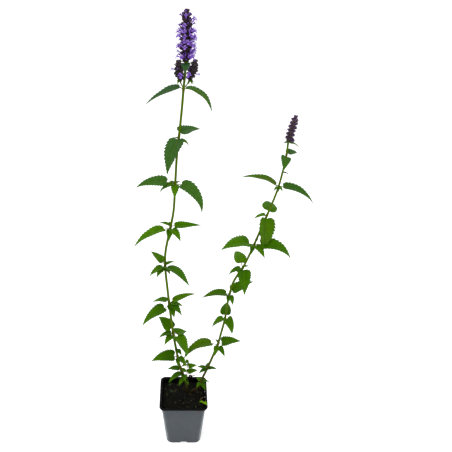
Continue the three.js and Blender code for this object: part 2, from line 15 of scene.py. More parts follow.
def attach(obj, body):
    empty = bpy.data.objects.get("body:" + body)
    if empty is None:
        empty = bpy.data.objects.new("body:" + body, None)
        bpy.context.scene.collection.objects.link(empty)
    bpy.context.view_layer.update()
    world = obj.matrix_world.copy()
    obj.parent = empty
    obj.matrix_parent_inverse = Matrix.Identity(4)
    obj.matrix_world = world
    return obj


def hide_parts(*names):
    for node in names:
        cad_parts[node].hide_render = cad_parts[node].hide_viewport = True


MM = 0.001
UP = Vector((0, 0, 1))
FULL_TURN = 2 * pi
QUARTER = pi / 2
NEARLY_ALONG = 0.1
DRAW_FACTOR = 16807
DRAW_LIMIT = 2147483647

# Camera and studio
CAMERA_PLACE = (0, -830, 887)
CAMERA_PITCH = 62.6
CAMERA_LENS = 45.8
CAMERA_SENSOR = 36
CAMERA_SHIFT = 0.094
CAMERA_REACH = 100
FLOOR_HALF = 30000
FLOOR_DROP = 0.2
FLOOR_COLOUR = (0.93, 0.93, 0.93, 1)
FLOOR_GLOW = 0.3
FLOOR_ROUGH = 0.9
WORLD_LIGHT = 1.02
WHITE = (1, 1, 1, 1)
# Each light's place, the point that it is aimed at, its size and its power
LIGHTS = {
    "key": ((-1.1, -1.5, 2.0), (0.05, 0, 0.4), 1.2, 22),
    "fill": ((1.6, -1.1, 1.1), (0.05, 0, 0.35), 1.0, 8),
    "top": ((0.1, 0.5, 2.2), (0.05, 0, 0.3), 1.0, 10),
}

# Looks. A colour is as seen, from 0 to 255, or it is a mask with the two colours that it mixes.
# A mask is a value by its name, or noise by its scale per metre, detail, roughness and stretch.
# A layer has its mask, where the mask starts and where it is full, its strength and its colour.
# A bump has its mask, its strength and its depth.
BRIGHTEST = 255
PLAIN_GLOSS = 0.5
LEAF_SHEEN = (0.62, 0.84, 0.05, 1)
LOOKS = {
    "leaf": {
        "name": "leaf_green", "rough": 0.6, "gloss": 0.12, "sheen": LEAF_SHEEN,
        "ground": ("tone", (36, 72, 1), (60, 98, 3)),
        "layers": [
            ("age", 0, 0.5, 1, ("tone", (40, 82, 0), (68, 112, 0))),
            # Leaves near the flowers are darker; the blue in their colour and in their tips' colour is
            # a painted sheen
            ("age", 0.66, 1, 1, ("tone", (36, 60, 46), (48, 76, 50))),
            ("along", 0.35, 1, 0.5, ("age", (76, 122, 0), (48, 84, 34))),
            ("bronze patches", 0, 1, 1, (66, 64, 16)),
            ("bronze", 1, 2, 1, (54, 32, 44)),
            ((160,), 0.35, 0.7, 0.45, (28, 70, 2)),
            ("veins", 0, 1, 0.26, (88, 124, 24)),
            ("under", 0, 1, 0.25, (70, 104, 30)),
            ("from midrib", 0.86, 1, 0.3, (34, 56, 10)),
        ],
        "bump": ("grain", 0.35, 0.0004),
    },
    "stem": {
        "name": "stem_green", "rough": 0.55, "gloss": 0.15, "sheen": LEAF_SHEEN,
        "ground": ((120,), (68, 92, 0), (52, 74, 0)),
        "layers": [
            ("uneven height", 0.27, 0.13, 1, ((200,), (40, 22, 14), (44, 36, 8))),
            ("height", 0.112, 0.092, 1, (26, 16, 11)),
            ("joint", 0, 1, 0.5, (70, 56, 20)),
            ("stalk", 0, 1, 0.7, (78, 98, 3)),
        ],
        "bump": ((1400, 2), 0.3, 0.0002),
    },
    "hair": {"name": "fine_hair", "rough": 0.6, "ground": ((300,), (96, 112, 30), (80, 96, 20))},
    "petal": {
        "name": "petal_violet", "rough": 0.55, "gloss": 0.12,
        "ground": ("tone", (106, 66, 166), (142, 102, 198)),
        "layers": [
            ((500,), 0.4, 0.75, 0.4, (92, 54, 148)),
            ("out", 0.3, 0, 1, (34, 14, 64)),
            ("out", 0.75, 1, 0.4, (164, 130, 214)),
        ],
        "bump": ((1200, 2), 0.25, 0.0002),
    },
    "stamen": {
        "name": "stamen_lilac", "rough": 0.5, "ground": ("out", (206, 190, 232), (120, 96, 150)),
    },
    "pot": {
        "name": "pot_slate", "rough": 0.4, "gloss": 0.3, "ground": (47, 55, 59),
        "layers": [
            ((28, 4), 0.35, 0.65, 1, (53, 58, 65)),
            ((75, 4), 0.55, 0.8, 0.5, (45, 53, 58)),
            ((3, 6, 0.7, (60, 60, 4)), 0.62, 0.8, 0.3, (84, 88, 90)),
            # A pale line down each rounded corner: a painted highlight
            ("painted corner highlight", 0, 1, 1, (112, 124, 128)),
            # Darker towards the top of the wall: a painted shadow under the rim
            ("height", 0.062, 0.09, 0.6, (40, 46, 50)),
            ("dirt", 0, 1, 1, (54, 38, 22)),
        ],
        "rough_by": ((90, 4), 0.3, 0.7, 0.36, 0.5),
        "bump": ((700,), 0.12, 0.0003),
    },
    "pot_inside": {
        "name": "pot_black", "rough": 0.5, "gloss": 0.06, "ground": (3, 3, 4),
        "layers": [((140, 5, 0.65), 0.5, 0.8, 0.5, (13, 13, 13))],
        "bump": ((500,), 0.15, 0.0003),
    },
    "compost": {
        "name": "compost_dark", "rough": 0.95, "gloss": 0.05,
        "ground": ((300, 6, 0.7), (8, 8, 7), (23, 23, 19)),
        "layers": [
            ((420, 3, 0.6), 0.6, 0.7, 0.6, (50, 52, 38)),
            ("tone", 0, 1, 0.5, (36, 35, 27)),
        ],
        "bump": ((900, 6, 0.7), 0.9, 0.0012),
    },
    "bark": {
        "name": "bark_brown", "rough": 0.9, "gloss": 0.05,
        "ground": ("tone", (17, 15, 11), (78, 74, 52)),
        "layers": [((500, 5, 0.7, (1, 3, 1)), 0.4, 0.7, 1, (34, 26, 18))],
        "bump": ((700, 5, 0.6, (1, 3, 1)), 0.8, 0.0006),
    },
}
# Calyces: material name, dark and light, then the colours of the foot and of the teeth
CALYX_LOOKS = {
    "calyx": ("calyx_purple", (28, 21, 26), (50, 36, 46), (44, 54, 20), (72, 50, 74)),
    "side_calyx": ("calyx_brown", (34, 30, 30), (72, 66, 62), (58, 72, 28), (72, 58, 70)),
    "bud_calyx": ("bud_calyx_brown", (56, 50, 42), (80, 68, 64), (70, 78, 30), (108, 72, 128)),
}
# Small things that are lightly mottled: material name, two colours, scale and roughness
MOTTLED_LOOKS = {
    "perlite": ("perlite_white", (226, 226, 220), (190, 188, 180), 400, 0.9),
    "tan": ("tan_bits", (150, 116, 70), (104, 92, 60), 500, 0.9),
    "twig": ("dry_twig", (62, 44, 40), (40, 30, 28), 300, 0.8),
    "seedling": ("seedling_green", (104, 148, 1), (84, 126, 1), 300, 0.5),
    "old_leaf": ("fallen_leaf", (28, 44, 16), (24, 32, 14), 300, 0.7),
}
SIDE_VEIN_EDGE = 0.44
SIDE_VEIN_SHARE = 0.45
SIDE_VEIN_DEPTH = -0.8
MIDRIB_EDGES = (0.07, 0.02)
LEAF_GRAIN = (900, 2)
BRONZE_PATCHES = ((90,), 0.3, 0.6)
RED_WAVE = (30,)
RED_WAVE_HEIGHT = 0.08
# Where the painted highlight runs on a rounded corner of the pot, and its patches
CORNER_LINE = (0.93, 0.97, 0, 0.9)
CORNER_PATCHES = ((60,), 0.3, 0.6, 0.4, 1)
DIRT_GRAIN = ((260, 4), 0.4, 0.55)
# Spots of dirt on the pot, each with its place and its size
DIRT_SPOTS = [((-31, -29, 4), 7), ((29, -43, 91), 8), ((30, -32, 5), 6)]

# Pot
POT_HEIGHT = 97
POT_BASE_HALF = 32.6
POT_TOP_HALF = 41.4
RIM_HALF = 45
RIM_DEPTH = 1.5
RIM_ROUND = 0.5
RIM_CORNER = 10
SHOULDER_DEPTH = 7.6
SHOULDER_STEP = 2.2
SHOULDER_SLOPE = 1
SHOULDER_SOFT = 0.3
BASE_CORNER = 11
TOP_CORNER = 8
BASE_ROUND = 0.9
WALL = 1.2
FIT_GAP = 0.3
CORNER_STEPS = 8
CHANNEL_HALF = 8
CHANNEL_RISE = 3.6
CHANNEL_INNER = 13
ARCH_STEPS = 12
DRAIN_RADIUS = 3.2
DRAIN_REACH = 19
DRAIN_SIDES = 24
LOOP_X = 13.5
LOOP_RADIUS = 2.4
LOOP_TUBE = 1.6
LOOP_INSET = 1.6
LOOP_SINK = 0.2
LOOP_STEPS = 24
LOOP_SIDES = 10
# How far a cutting tool runs past what it cuts
OVERLAP = 1
# Rounded edges, step by step: shares of the rise and of the inset at the foot, the same and the
# corner's inset at the shoulder, and depth, reach past the wall and the corner's inset at the lip
FOOT_EDGE = [(0, 1), (0.12, 0.5), (0.45, 0.1)]
SHOULDER_EDGE = [(0.2, 0.7, 0.8), (0.8, 0.1, 0.2), (1.3, 0, 0)]
RIM_EDGE = 0.3
LIP_EDGE = [(0, 1, 0), (0.4, 0.3, 0.4), (1.2, 0, WALL)]
# Which faces of the pot are black: all near its top, the rim's, and those that face in
BLACK_DEPTH = 1.3
RIM_SPARE = 0.2
FACING_IN = -0.2
BLACK_FROM = 6

# Compost and what lies on it
COMPOST_TOP = 88
COMPOST_CELLS = 96
COMPOST_SEED = 5
CRUMB_RELIEF = 1.5
# Waves of the ground: how close they are, their shift and their share of the relief
GROUND_WAVES = [(0.07, (0, 0, 0), 0.9), (0.35, (9, 3, 0), 0.55)]
# How fast finer waves weaken, how much closer each set is, and how many sets there are
WAVE_SETS = (1.0, 2.0, 3)
EDGE_DROP = 1.4
EDGE_POWER = 12
CRUMBS = 620
CRUMB_INSET = 2.2
CRUMB_SIZE = 0.5
CRUMB_SPREAD = 1.5
CRUMB_POWER = 2.5
CRUMB_LIFT = 0.35
CRUMB_TONE_POWER = 3
BARK_CHIPS = 70
BARK_REACH = 0.94
# Limits of the draws for a chip's turn and tilt, in radians, and its size, length and width
BARK_DRAWS = [(0, FULL_TURN), (-0.4, 0.4), (0.8, 1.7), (1.6, 2.6), (0.5, 0.9)]
BARK_THICK = 0.35
BARK_LIFT = 0.5
BARK_TONE_POWER = 1.5
LUMP_REACH = (0.75, 1.15)
LUMP_STEPS = (6, 4)
LITTER_SEED = 8
# Perlite and tan bits: their stretch and steps, then the place and size of each
LITTER = [
    ((1, 1, 1), (8, 6), [(41.2, 3.7, 96.2, 1.1), (40.8, -10.6, 96.2, 1.0)]),
    ((1.3, 0.9, 0.6), (8, 5), [
        (35.5, -6.5, 90.2, 1.4), (37.0, -16.5, 90.4, 1.5), (33.0, -9.0, 89.6, 1.1),
    ]),
]
TWIG = [(13.5, 41.5, 98.2), (17, 44, 99.2), (21, 45.8, 99.4), (25.5, 47, 100.2)]
TWIG_RADIUS = 1.0
TWIG_TAPER = 0.4
TWIG_STEPS = 12
TWIG_SIDES = 8
FALLEN_LEAVES = [
    ((-28.5, 27, 89.6), 62, 9), ((-26.7, 10.8, 89.4), 20, 9), ((-24, 13.5, 89.8), -40, 7),
]
FALLEN_WIDTH = 0.6
FALLEN_SEED = 40

# Stems: points on the centre line, and the reach of the square section's corners
MAIN_STEM = {
    "points": [
        (8, 8.5, 77), (8, 8.5, 90), (5.5, 8, 108), (0.5, 7.5, 131), (-5.5, 7, 152), (-9.5, 6.5, 168),
        (-12, 6, 188), (-17, 5.5, 222), (-21, 5.5, 257), (-24.5, 6, 292), (-28, 6, 333),
        (-31, 5.5, 372), (-30.5, 4, 402), (-25.5, 3, 433), (-19.5, 2, 462), (-15.5, 1.5, 488),
        (-13, 1, 530), (-10.2, 0.5, 577), (-6.5, 0, 611), (-2.5, 0, 650), (0, 0, 680), (2, 0, 700),
        (3.1, 0, 718.7),
    ],
    "base": 2.5,
    "top": 1.75,
    "hairy": True,
}
SIDE_STEM = {
    "points": [
        (14, 9, 77), (14, 9, 89.5), (17.5, 9.2, 94.5), (27, 10, 100), (32.8, 11, 112),
        (37.5, 12, 127), (44.5, 13, 145), (50.6, 14, 162), (58.8, 15.5, 186), (64, 16.5, 202),
        (69, 17.5, 226), (75.3, 18.5, 259), (79, 19.5, 293), (82.2, 20, 313), (86.5, 20, 333),
        (95, 20, 352), (103.5, 20, 367), (113.8, 20, 394), (120.3, 20, 413), (128.5, 20, 439),
        (137.3, 20, 465), (144.5, 19.5, 488), (152, 19, 515), (157, 18, 544), (160.3, 17, 570),
        (161.4, 16, 596),
    ],
    "base": 2.3,
    "top": 1.5,
    "hairy": True,
}
LOW_SHOOT = {
    "points": [(10, 18, 77), (10, 18, 88), (8, 18, 112), (6.5, 17.5, 134), (7.5, 17, 155)],
    "base": 0.95,
    "top": 0.7,
    "hairy": False,
}
SEEDLING = {
    "points": [(31, -17, 80), (31, -17, 89), (34, -21.5, 96), (38.6, -27.5, 98.6)],
    "base": 0.5,
    "top": 0.45,
    "hairy": False,
}
STALKS = [
    [(0, 0, 681), (-3, -0.8, 687), (-6, -2, 696)],
    [(0, 0, 681), (5.2, -1, 687), (9.8, -2, 696)],
]
STALK_RADIUS = 0.95
# The finer stems are this much fuller than the part's plain ones
STEM_FULLNESS = 1.16

# Leaves: height on the stem, turn in plan (0 is +X, 90 is +Y), blade length and width,
# petiole length, then in degrees the lift of the petiole, the droop along the blade and its roll
# about the midrib, and how far the blade bends down from its petiole where that isn't KNEE
MAIN_LEAVES = [
    (680, 195, 57, 17, 7, 38, 29, -13, 47), (679, 20, 61, 18, 3.4, 20, 71, -29, 27),
    (611, 37, 40, 23, 2.2, 30, 28, 17, 19), (606, -120, 58, 30, 2, -34, 46, 4, -3),
    (529, 178, 52, 19, 13.7, 10, 50, -43, -3), (529, -28, 61, 23, 11, 3.5, 89, 23, 8),
    (455, 5, 45, 14, 6.4, 8, 9, 29, 5), (452, -152, 60, 20, 11.5, 5, 53, -10, -2),
    (379, 136, 32, 18.5, 6.5, 27, 27, 1, -4), (374, -45, 58, 30, 3.4, 2, 44, -15, -7),
    (300, 2, 44, 12.5, 8.6, 36, 38, 33, -2), (297, -153, 51, 26, 10, -12, 45, -6, -6),
    (239, 140, 34, 23, 5.5, 49, 32, -38, 14), (231, -40, 44, 30, 8, -9, 64, -12, 14),
    (231, 39, 28, 26, 5, 0, 20, 0), (180, -170, 45, 25, 7.4, 28, 47, -24, 13),
    (138, -150, 31, 16, 3, 16, 68, 5, 2), (717, -90, 14, 14, 3, 0, 60, 0, 20),
]
SIDE_LEAVES = [
    (573, 36, 23, 15, 3, 15, 40, 20, 5), (570, -106, 24, 17, 2.6, -20, 68, -19, -5),
    (517, 180, 60, 19, 5.8, 37, 49, -10, 0), (517, -4, 62, 17, 7.3, 6, 61, 26, 6),
    (467, 70, 35, 27, 8, 43, 45, 21, 23), (465, -93, 60, 31, 3.3, -48, 57, -23, 11),
    (411, -154, 57, 33, 10.7, 22, 50, -11, -4), (412, -13, 61, 24, 11.3, 12, 82, 32, -6),
    (365, 101, 38, 23, 11, 26, 51, -4, -4), (365, -87, 45, 27, 4.3, -31, 47, -15, -8),
    (311, -168, 46, 21.5, 6.6, 17, 41, -5, 0), (312, 23, 44, 24, 6, 33, 30, 12),
    (259, 82, 32, 21, 5, 40, 45, -3, 7), (259, -70, 34, 18, 7.9, 13, 109, 24, -4),
    (203, -2, 36, 23, 7.7, 20, 28, 13, -1), (200, 197, 67, 24, 14, 26, 97, -4, 3),
]
# Young leaves from the leaf axils: height, turn, blade length, lift
MAIN_YOUNG = [
    (606, -16, 17, -5), (529, -166, 26, 0), (529, -92, 23, -14), (455, 172, 18, 40),
    (452, -97, 20, -18), (453, -50, 27, -2), (380, 12, 16, 37), (376, -148, 29, 10),
    (374, -123, 24, 8), (374, -56, 15, -4), (303, 170, 28, 15), (305, 146, 14, 25),
    (298, -65, 25, -12), (299, -41, 29, 4), (301, -7, 23, 15), (236, -166, 25, 12),
    (231, -127, 25, 10), (181, -34, 23, -14), (180, -86, 15, -20), (149, 169, 25, 17),
    (137, -77, 19, 30), (128, -132, 16, -8),
]
SIDE_YOUNG = [
    (593, -8, 17, 4), (466, -178, 21, 8), (410, -115, 17, -15), (410, -50, 27, -6),
    (365, -158, 25, 11), (311, -109, 15, -22), (311, -64, 18, -26), (259, -155, 27, 0),
    (200, -114, 19, -23), (199, -50, 22, -8), (146, 178, 18, 36), (146, 78, 14, 34),
    (146, -17, 18, 36), (146, -147, 17, 18), (115, 129, 14, 29), (115, -5, 14, 30),
    (113, -123, 14, 22), (113, -64, 17, 13),
]
LOW_LEAVES = [(148, -10, 18, 11, 2, 24, 12, 70), (132, 16, 21, 11, 2, 31, 51, 43, 11)]
LOW_YOUNG = [(134, 165, 13, 20), (152, -150, 12, 20)]
SEEDLING_LEAVES = [(98, -48, 9, 7.5, 1.5, 30, 50, 0)]
SEEDLING_YOUNG = [(98, 160, 7, 20)]
# The smallest leaves, in the same columns, which only this file has
MAIN_TINY = [
    (606, 150, 8, 30), (531, 160, 10, 40), (531, 30, 9, 35), (455, 110, 9, 50), (197, -57, 17, 20),
    (152, -32, 13, 16), (121, -60, 12, 30),
]
SIDE_TINY = [
    (592, 170, 6, 10), (542, 0, 10, 5), (517, -140, 10, 0), (517, -60, 10, 0), (517, -100, 8, -30),
    (417, 55, 9, 45), (366, 15, 10, 20), (204, 130, 8, 40),
]
LOW_TINY = [(152, 95, 12, 30)]
# Leaves that are tinged with bronze, by their height and turn, and how much: 2 is dark purple
BRONZE_LEAVES = {
    (517, 180): 0.6, (465, -93): 0.35, (542, 0): 2.0, (300, 2): 0.4, (311, -168): 0.3,
    (200, 197): 0.4,
}
YOUNG_WIDTH = 0.58
YOUNG_PETIOLE = 0.12
YOUNG_PETIOLE_FOOT = 1
YOUNG_DROOP = 48
KNEE = 6

# Each piece of stem and leaves: its node, slot, stem, leaves, stalks and seed of its draws
STEM_PIECES = {
    "main_stem_leaves": (
        "main_leafy_stem", "foliage", MAIN_STEM, MAIN_LEAVES, MAIN_YOUNG + MAIN_TINY, STALKS, 1000,
    ),
    "side_stem_leaves": (
        "side_leafy_stem", "foliage", SIDE_STEM, SIDE_LEAVES, SIDE_YOUNG + SIDE_TINY, [], 2000,
    ),
    "low_shoot_leaves": (
        "low_leafy_shoot", "foliage", LOW_SHOOT, LOW_LEAVES, LOW_YOUNG + LOW_TINY, [], 3000,
    ),
    "seedling_leaves": (
        "seedling", "seedling_green", SEEDLING, SEEDLING_LEAVES, SEEDLING_YOUNG, [], 4000,
    ),
}

# Leaf form
BLADE_THICK = 0.34
FOLD = 20
YOUNG_FOLD = 14
LOBE = 0.34
LOBE_POWER = 3
LARGE_TEETH = 11
YOUNG_TEETH = 6
SMALL_BLADE = 20
TOOTH_DEPTH = 0.08
TOOTH_HOOK = 0.3
TOOTH_POWER = 5
# Rows of points along a blade: the share of its length, the reach of a tooth there and its hook.
# The rows of a tooth give shares of one tooth
BASE_ROWS = [(0.004, 0, 0), (0.016, 0, 0), (0.034, 0, 0)]
TOOTH_ROWS = [(0, -0.5, 0), (0.4, 0.1, 0), (0.72, 0.5, 1), (0.86, 0.0, 0.5)]
TIP_ROWS = [(0.957, -0.4, 0), (0.975, 0, 0), (0.99, 0, 0), (0.999, 0, 0)]
TEETH_FROM = 0.055
TEETH_TO = 0.95
VEINS = 6
VEIN_SLANT = 0.75
VEIN_SHIFT = 0.25
QUILT = 0.42
QUILT_POWER = 0.3
QUILT_LENGTH = 50
RUFFLE = 0.05
# Limits of the draws for the waves along each side of a blade: how many there are, and where
# they start, in radians
RUFFLE_DRAWS = [(1.2, 2.4), (0, 6.28)]
BOW = 0.07
EDGE_CURL = 0.05
EDGE_CURL_POWER = 4
TROUGH_ROUND = 0.006
TROUGH_DROP = 0.0775
OUTLINE_SCALE = 2.411
BASE_POWER = 0.36
TIP_POWER = 1.35
# How much fuller the finer blades are near their tips, as a share of their length
TIP_FULLNESS = 0.08
TIP_FULLNESS_POWER = 4
LARGE_COLUMNS = [-1, -0.86, -0.66, -0.44, -0.22, -0.07, 0, 0.07, 0.22, 0.44, 0.66, 0.86, 1]
YOUNG_COLUMNS = [-1, -0.7, -0.35, -0.08, 0.08, 0.35, 0.7, 1]

# Petioles and midribs
PETIOLE_RADIUS = 0.62
YOUNG_PETIOLE_SHARE = 0.6
RIB_SPARE = 0.12
PETIOLE_STEPS = 4
LARGE_RIB_STEPS = 14
YOUNG_RIB_STEPS = 7
RIB_REACH = 0.95
RIB_SHARE = 0.8
RIB_POWER = 1.2
RIB_SINK = 0.35
RIB_SINK_RATE = 4
RIB_SIDES = 7

# What the kinds of leaf have in common, and what only the large ones have
AGE_FROM = 90
AGE_HEIGHT = 560
AGE_JITTER = (0.9, 1.05)
YOUNG_AGE = 0.6
PLAIN_LEAF = {
    "roll": 0, "knee": KNEE, "teeth": YOUNG_TEETH, "columns": YOUNG_COLUMNS, "large": False,
    "bronze": 0.0,
}
LARGE_LEAF = {"teeth": LARGE_TEETH, "columns": LARGE_COLUMNS, "large": True}
BRACT = {
    **PLAIN_LEAF, "width": 5, "petiole": 0.6, "droop": 35, "fold": 12, "teeth": 2, "age": 0.5,
    "bronze": 0.3,
}
FALLEN_LEAF = {
    **PLAIN_LEAF, "petiole": 1, "lift": 8, "droop": 20, "roll": 6, "knee": 0, "fold": 8,
    "tone": 0.3, "age": 0.3,
}
BRACTS = 6
# Limits of the draws for a bract's turn, length and lift
BRACT_DRAWS = [(-15, 15), (6, 9), (-5, 35)]
BRACT_SINK = 0.6

# Stem form
STEM_STEPS = 14
STEM_SIDES = 16
STALK_STEPS = 12
STALK_SIDES = 8
STALK_TONE = 0.8
# How square a stem is, from 2, round, upwards
SQUARENESS = 4
CURVE_STEPS = 8
JOINT_REACH = 4
JOINT_SWELL = 0.22
# A young leaf longer than this has a joint on the stem
JOINT_BLADE = 12
YOUNG_SEED_STEP = 100
HAIRS_PER_MM = 0.8
HAIR_STEPS = 6
HAIR_FROM = COMPOST_TOP + 3
HAIR_ROOT = 0.8
# Limits of the draws for a hair's turn about the stem, in radians, its slant and its length
HAIR_DRAWS = [(0, FULL_TURN), (-0.5, 0.2), (0.3, 0.7)]
HAIR_HALF = 0.05

# Flower spikes: foot and tip of the axis, rings of calyces and calyces to the widest ring,
# widest radius, calyx length, share of florets open, seed of the draws, and single florets,
# each with its turn in plan, its rise, its reach from the axis and its height. Only this file
# has the share of closed buds, how far the bracts at the foot hang, and tufts of calyces, which
# are given as florets are, with their length and their number of flowers
MAIN_SPIKE = {
    "foot": (3.1, 0, 719), "tip": (4.8, 0, 789),
    "rings": 11, "round": 8, "wide": 8, "calyx": 6.5, "open": 0.56, "seed": 7, "florets": [],
    "budding": 0.35, "hang": 0,
    "tufts": [
        (10, 20, 3, 13, 5.8, 2), (-25, 22, 3, 20, 5.8, 2), (5, 20, 3, 27, 5.8, 3),
        (-35, 22, 3, 33, 5.6, 2), (0, 24, 3, 38, 5.4, 2), (20, 30, 3, 47, 5, 1),
        (-15, 34, 2.6, 54, 4.6, 1), (180, 34, 2.4, 58, 4.4, 1), (190, 20, 3, 17, 5.8, 2),
        (170, 22, 3, 36, 5.6, 2), (-90, 24, 3, 9, 5.4, 0), (200, 40, 2.6, 62, 4.6, 0),
        (-60, 50, 2.4, 62, 4.6, 0), (-20, 45, 2.6, 61, 4.6, 0), (-100, 60, 1.6, 65, 4, 0),
        (40, 84, 0.4, 65.5, 4, 0),
    ],
}
LEFT_SPIKE = {
    "foot": (-6, -2, 695.3), "tip": (-7, -1.4, 720.8),
    "rings": 5, "round": 7, "wide": 5.2, "calyx": 5.2, "open": 0, "seed": 11,
    "florets": [(185, 15, 4, 12), (-80, 5, 4, 5)],
    "budding": 0.1, "hang": 50,
    "tufts": [
        (-15, 5, 1.5, 0.5, 4.6, 0), (-70, -5, 1.2, -0.5, 4.4, 0), (0, 30, 2, 4, 4.8, 0),
        (180, 25, 2, 6, 5, 0), (-20, 35, 2, 10, 4.8, 0), (200, 35, 2, 12, 4.8, 0),
        (-60, 30, 2, 8, 4.6, 0), (-110, 35, 2, 14, 4.6, 0),
    ],
}
RIGHT_SPIKE = {
    "foot": (9.8, -2, 695.4), "tip": (17.3, -2, 721.6),
    "rings": 5, "round": 7, "wide": 5.4, "calyx": 5.2, "open": 0, "seed": 13,
    "florets": [(-5, 15, 4, 7), (-115, 5, 4, 5)],
    "budding": 0.1, "hang": 50,
    "tufts": [
        (200, 5, 1.5, 0.5, 4.6, 0), (250, -5, 1.2, -0.5, 4.4, 0), (180, 30, 2, 4, 5, 0),
        (190, 35, 2, 9, 5, 0), (0, 25, 2, 12, 4.8, 0), (-30, 35, 2, 15, 4.8, 0),
        (240, 30, 2, 7, 4.6, 0), (210, 40, 2, 14, 4.8, 0),
    ],
}
BUD_SPIKE = {
    "foot": (161.4, 16, 596.3), "tip": (169.8, 15.5, 636),
    "rings": 7, "round": 6, "wide": 6.2, "calyx": 5.4, "open": 0, "seed": 17, "florets": [],
    "budding": 0, "hang": 25, "tufts": [(-12, 22, 3.6, 0.8, 5.4, 0), (-40, 20, 3, 0.4, 5, 0)],
}
# Each spike's node, its table and the look of its calyces
SPIKE_PIECES = {
    "main_spike_flowers": ("main_flower_spike", MAIN_SPIKE, "calyx"),
    "left_spike_flowers": ("left_flower_spike", LEFT_SPIKE, "side_calyx"),
    "right_spike_flowers": ("right_flower_spike", RIGHT_SPIKE, "side_calyx"),
    "bud_spike_buds": ("bud_spike", BUD_SPIKE, "bud_calyx"),
}
FOOT_SHARE = 0.85
WIDEST_AT = 0.45
NARROWING = 0.62
NARROWING_POWER = 3.5
CORE_SHARE = 0.7
CORE_STEPS = 12
CORE_SIDES = 14
CORE_REACH = 0.97
CORE_NARROWING = 0.6
CORE_POWER = 4
CORE_VALUES = {"out": 0.5, "tone": 0.1}
RING_START = 0.7
RING_SPARE = 0.2
FEWEST_CALYCES = 4
THINNING = 0.4
TURN_JITTER = 0.3
RISE_AT_FOOT = 22
RISE_GAIN = 60
RISE_POWER = 2
RISE_JITTER = 12
# Towards the tip of a spike its calyces are shorter
TIP_FROM = 0.75
TIP_CLOSING = 0.35
ROOT_SHARE = 0.3
LONGEST_SHARE = 1.3
SINK_SHARE = 0.4
FIRST_OPEN = 0.05
LAST_OPEN = 0.86
CROWDED_TO = 0.52
SPARSE_SHARE = 0.45
# Above this share of a spike a tuft has one flower at most. Only this file has it, and the way
# that single florets stand further out and higher than the part's plain ones
SINGLE_FROM = 0.62
FLORET_SHIFT = 1.5
# Where along a spike the listed tufts belong, for their look
TUFT_SHARE = 0.2

# Calyces: each of a tuft's turn, rise and share of its length, then rings along one calyx
CLUSTER = [(0, 0, 1), (-26, 13, 0.94), (25, 9, 0.96), (4, 27, 0.86), (-4, -15, 0.9)]
# Limits of the draws for a calyx's turn, rise, stretch and radius
CALYX_DRAWS = [(-5, 5), (-4, 4), (0.95, 1.08), (0.85, 1.05)]
CALYX_THINNING = 0.25
CALYX_RINGS = [(0, 0.35), (0.25, 0.8), (0.6, 1.05), (1, 1.18)]
CALYX_RIDGES = (0.94, 1.08)
CALYX_TEETH = 5
CALYX_TOOTH = 1.5
CALYX_TOOTH_REACH = 0.95
PALE_FROM = 0.8
PALE_RATE = 4
BUD_RINGS = [(-0.4, 0.5), (0.2, 0.72), (0.6, 0.85), (0.9, 0.55), (1.0, 0.15)]
BUD_SIDES = 7
BUD_LENGTH = (1.2, 2.2)
BUD_VALUES = {"out": 0.35, "tone": 0.0}

# Flowers: rings along the tube, then each lobe's direction, half width and length. The value out
# runs from the throat to the lobes' edges, and the tube's outside has one of its own
MOUTH_RADIUS = 1.05
TUBE_RINGS = [(-3, 0.5), (0, 0.62), (3.6, 0.8), (6.4, 1.1)]
TUBE_OUT = 0.55
THROAT_OUT = 0.05
LIMB_OUT = 0.25
LOBES = [(68, 27, 2.0), (112, 27, 2.0), (2, 30, 2.1), (178, 30, 2.1), (-90, 46, 3.2)]
LOBE_ROUNDING = 0.6
LIMB_STEPS = 4
LIMB_SIDES = 30
LIMB_FLARE = 0.25
LIMB_RISE = 0.7
LIMB_CURL = 0.9
LOWER_CURL = 1.3
# Limits of the draws for a flower's scale and the stretch of its tube
FLOWER_DRAWS = [(0.92, 1.1), (0.75, 1.05)]
FLOWER_SINK = 0.5
# Stamens: the side and the height of each
STAMENS = [(-1, 1), (1, 1), (-1, 0.2), (1, 0.2)]
STAMEN_START = 5
STAMEN_REACH = 5.2
# Limits of the draws for a stamen's bend and the stretch of its reach
STAMEN_DRAWS = [(0.7, 1.3), (0.75, 1.05)]
STAMEN_SPREAD = 0.3
STAMEN_DEPTH = 1.5
# The bend, share of the reach and rise of a stamen's middle, then the bend and rise of its end
STAMEN_MIDDLE = (0.5, 0.4, 0.5)
STAMEN_END = (0.9, 1.2)
STAMEN_RADIUS = 0.12
STAMEN_STEPS = 6
STAMEN_SIDES = 4
ANTHER_SIZE = 0.26
ANTHER_STRETCH = (1.3, 0.8, 0.8)
ANTHER_STEPS = (5, 4)


# Meshes


def seeded_draw(seed):
    """The same fixed sequence from 0 to 1 as the part's source has."""
    state = seed
    while True:
        state = (state * DRAW_FACTOR) % DRAW_LIMIT
        yield state / DRAW_LIMIT


def draws(rng, limits):
    """One even draw between each pair of limits, in their order."""
    return [rng.uniform(low, high) for low, high in limits]


def link(name, data):
    """A new object in the scene."""
    made = bpy.data.objects.new(name, data)
    bpy.context.scene.collection.objects.link(made)
    return made


def mesh_object(name, points, faces):
    mesh = bpy.data.meshes.new(name)
    mesh.from_pydata([Vector(p) * MM for p in points], [], faces)
    mesh.update()
    return link(name, mesh)


